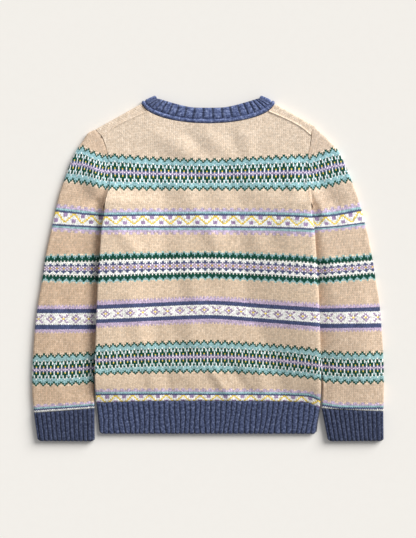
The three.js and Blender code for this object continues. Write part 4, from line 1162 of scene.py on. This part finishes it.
def knit_material(name, side, tint_and_shade):
    """The marled knit with the bands of one piece."""
    n = Nodes(name)
    split = n.add("ShaderNodeSeparateXYZ", {0: n.add("ShaderNodeUVMap", uv_map="knit").outputs[0]})
    u, v = split.outputs[0], split.outputs[1]
    place = n.vector(u, v)
    wander = n.math("SUBTRACT", n.noise(place, 0.55, 1.0), 0.5)
    wander_up = n.math("SUBTRACT", n.noise(n.vector(v, u, 7.0), 0.6, 1.0), 0.5)
    u = n.math("MULTIPLY_ADD", wander, 0.3, u)
    v = n.math("MULTIPLY_ADD", wander_up, 0.45, v)
    wale, course, height = stitches(n, u, v)
    fleck = n.noise(n.vector(u, v, 3.0), 1.15, 2.0, 0.6)
    # The piece's colour factor darkens its plain wool: painted shade on the sleeves
    plain = n.ramp(fleck, [tuple(part * t for part, t in zip(tone, tint_and_shade)) for tone in PLAIN_TONES], False)
    left_wale = stitches(n, n.math("SUBTRACT", u, YARN_SPREAD), v)[0]
    right_wale = stitches(n, n.math("ADD", u, YARN_SPREAD), v)[0]
    heather = n.math("MULTIPLY_ADD", n.noise(n.vector(v, u, 5.0), 1.1, 2.0, 0.8), 2.3, -0.12)
    mottle = n.grey(heather)
    first = pattern_colour(n, side, plain, course, left_wale, mottle)
    second = pattern_colour(n, side, plain, course, right_wale, mottle)
    colour = n.blend("DARKEN", 1.0, first, second)
    each = n.add("ShaderNodeTexWhiteNoise", {"Vector": n.vector(wale, course)}).outputs[0]
    tone = n.math("MULTIPLY_ADD", each, 0.24, 0.81)
    # Painted shade: each stitch darkens towards the grooves around it, by its height
    shade = n.math("MULTIPLY", tone, n.math("MULTIPLY_ADD", height, 0.55, 0.68))
    fine = n.noise(place, 2.6, 1.0, 0.6)
    shade = n.math("MULTIPLY", shade, n.math("MULTIPLY_ADD", fine, 0.5, 0.75))
    # Painted light: the knit grows paler up towards the shoulders, and paler still across the yoke
    painted_light_up = n.math("MULTIPLY_ADD", split.outputs[1], PAINTED_LIGHT_UPWARDS / COURSES_HIGH, 1.0 - PAINTED_LIGHT_UPWARDS / 2)
    shade = n.math("MULTIPLY", shade, painted_light_up)
    yoke = n.math("MULTIPLY_ADD", split.outputs[1], 1 / YOKE_REACH, -YOKE_START / YOKE_REACH)
    yoke = n.math("MINIMUM", n.math("MAXIMUM", yoke, 0.0), 1.0)
    parts = {}
    for i, more in enumerate(YOKE_PAINTED_LIGHT):
        parts[i] = n.math("MULTIPLY", shade, n.math("MULTIPLY_ADD", yoke, more, 1.0))
    colour = n.blend("MULTIPLY", 1.0, colour, n.add("ShaderNodeCombineColor", parts).outputs[0])
    return cloth_surface(n, colour, height, KNIT_DEPTH, KNIT_SHEEN)


RIB_START = 2.6  # courses of the neckband's smooth roll, below its ribs


def rib_material(name, tone):
    """The marled rib, with painted shade in its valleys."""
    n = Nodes(name)
    split = n.add("ShaderNodeSeparateXYZ", {0: n.add("ShaderNodeUVMap", uv_map="knit").outputs[0]})
    u, v = split.outputs[0], split.outputs[1]
    wander = n.math("SUBTRACT", n.noise(n.vector(u, v), 0.4, 2.0), 0.5)
    place = n.vector(n.math("MULTIPLY", u, 0.8), n.math("MULTIPLY", v, 0.8))
    height = stitches(n, u, v)[2]
    fleck = n.math("MULTIPLY_ADD", n.noise(place, 0.85, 2.0, 0.7), 1.5, -0.25)
    colour = n.ramp(fleck, RIB_TONES, False)
    in_rib = n.math("FRACT", n.math("DIVIDE", n.math("MULTIPLY_ADD", wander, 0.7, u), WALES_PER_RIB))
    away = n.math("ABSOLUTE", n.math("MULTIPLY_ADD", in_rib, 2.0, -1.0))
    ribbed = n.math("GREATER_THAN", v, RIB_START)
    # Painted shade: the valleys between ribs and the grooves between stitches are darkened
    valley = n.math("MULTIPLY", n.math("POWER", away, 4.5), ribbed)
    shade = n.math("SUBTRACT", 1.0, n.math("MULTIPLY", valley, 0.88))
    # tone lights or shades this whole copy of the rib: painted light above 1, painted shade below 1
    shade = n.math("MULTIPLY", shade, n.math("MULTIPLY_ADD", height, 0.45 * tone, 0.68 * tone))
    grey = n.grey(shade)
    colour = n.blend("MULTIPLY", 1.0, colour, grey)
    return cloth_surface(n, colour, height, RIB_DEPTH, RIB_SHEEN)


def plain_material(name, colour, roughness):
    """A plain pale surface."""
    n = Nodes(name)
    texture = n.add("ShaderNodeTexCoord").outputs["Object"]
    speck = n.math("MULTIPLY_ADD", n.noise(texture, 90.0), 0.02, 0.99)
    grey = n.grey(speck)
    shader = n.add("ShaderNodeBsdfPrincipled", {
        "Base Color": n.blend("MULTIPLY", 1.0, (*colour, 1.0), grey), "Roughness": roughness,
        "Specular IOR Level": 0.1,
    })
    n.add("ShaderNodeOutputMaterial", {"Surface": shader.outputs[0]})
    return n.material


# Each piece's wool is multiplied by its own colour factor; the sleeves' darker, warmer factors are painted
# shade, most of it on the left sleeve
body_knit = knit_material("body_knit", "body", (0.98, 0.965, 0.95))
left_knit = knit_material("left_sleeve_knit", "left", (0.92, 0.85, 0.80))
right_knit = knit_material("right_sleeve_knit", "right", (0.93, 0.90, 0.89))
# One rib yarn in three copies: the hem's and cuffs' tones are painted shade and the neckband's is painted
# light
hem_knit = rib_material("hem_rib_knit", 0.84)
cuff_knit = rib_material("cuff_rib_knit", 0.60)
neck_knit = rib_material("neck_rib_knit", 1.55)

PIECES = [
    {"node": "front", "make": make_front, "material": body_knit, "slot": "oatmeal_knit",
     "flat": (0.316, 0.43), "area": 0.122, "rests_on": []},
    {"node": "hem_rib_front", "make": lambda: make_hem(False), "material": hem_knit, "slot": "blue_rib",
     "flat": (0.313, 0.046), "area": None, "rests_on": []},
    {"node": "sleeve_left", "make": lambda: make_sleeve("left"), "material": left_knit,
     "slot": "oatmeal_knit", "flat": (0.26, 0.39), "area": 0.078, "rests_on": []},
    {"node": "sleeve_right", "make": lambda: make_sleeve("right"), "material": right_knit,
     "slot": "oatmeal_knit", "flat": (0.26, 0.39), "area": 0.078, "rests_on": []},
    {"node": "cuff_left", "make": lambda: make_cuff("left"), "material": cuff_knit, "slot": "blue_rib",
     "flat": (0.17, 0.046), "area": None, "rests_on": []},
    {"node": "cuff_right", "make": lambda: make_cuff("right"), "material": cuff_knit, "slot": "blue_rib",
     "flat": (0.17, 0.046), "area": None, "rests_on": []},
    {"node": "back", "make": make_back, "material": body_knit, "slot": "oatmeal_knit",
     "flat": (0.316, 0.406), "area": 0.117, "rests_on": ["front_knit"]},
    {"node": "hem_rib_back", "make": lambda: make_hem(True), "material": hem_knit, "slot": "blue_rib",
     "flat": (0.313, 0.046), "area": None, "rests_on": ["hem_rib_front_knit"]},
    {"node": "neckband", "make": make_neckband, "material": neck_knit, "slot": "blue_rib",
     "flat": (0.44, 0.024), "area": None, "rests_on": []},
]

floor_mesh = bpy.data.meshes.new("floor")
FLOOR_REACH = 4.0
FLOOR_Z = -0.0002
FLOOR_CORNERS = ((-1, -1), (1, -1), (1, 1), (-1, 1))
floor_mesh.from_pydata(
    [(x * FLOOR_REACH, y * FLOOR_REACH, FLOOR_Z) for x, y in FLOOR_CORNERS], [], [(0, 1, 2, 3)]
)
floor = bpy.data.objects.new("floor", floor_mesh)
bpy.context.scene.collection.objects.link(floor)
floor.data.materials.append(plain_material("pale_floor", (0.90, 0.875, 0.835), 0.9))

for piece in PIECES:
    made = piece["make"]()
    made.data.materials.append(piece["material"])
    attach(made, "root")
    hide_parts(piece["node"])

# The camera looks straight down, as the photograph does, and holds the photo's frame
PHOTO_HEIGHT = 538  # pixels
VIEW_HEIGHT = PHOTO_HEIGHT * PIXEL * MM
LENS = 100.0
SENSOR = 36.0
CAMERA_X = -0.00014
CAMERA_Y = -0.00021
SCALE_Z = 0.007  # the level at which the view has the photo's scale
camera_data = bpy.data.cameras.new("camera")
camera_data.lens = LENS
camera_data.sensor_width = SENSOR
camera = bpy.data.objects.new("camera", camera_data)
bpy.context.scene.collection.objects.link(camera)
camera.location = (CAMERA_X, CAMERA_Y, SCALE_Z + VIEW_HEIGHT * LENS / SENSOR)
bpy.context.scene.camera = camera


# Soft key from the upper right of the photo, low enough to show the folds, with an even fill from all round
KEY_STRENGTH = 3.86
KEY_PLACE = (43, 32)  # its direction round from +X and its height, in degrees
KEY_SPREAD = 40
FILL_STRENGTH = 0.35
KEY_COLOUR = (1.0, 0.99, 0.97)
FILL_COLOUR = (0.985, 0.99, 1.0, 1.0)
key_data = bpy.data.lights.new("key", "SUN")
key_data.energy = KEY_STRENGTH
key_data.angle = math.radians(KEY_SPREAD)
key_data.color = KEY_COLOUR
key = bpy.data.objects.new("key", key_data)
bpy.context.scene.collection.objects.link(key)
azimuth, elevation = (math.radians(a) for a in KEY_PLACE)
key.rotation_euler = (math.pi / 2 - elevation, 0, math.pi / 2 + azimuth)
world = bpy.data.worlds.new("studio")
world.use_nodes = True
fill = world.node_tree.nodes["Background"]
fill.inputs[0].default_value = FILL_COLOUR
fill.inputs[1].default_value = FILL_STRENGTH
bpy.context.scene.world = world
bpy.context.scene.view_settings.view_transform = "Standard"
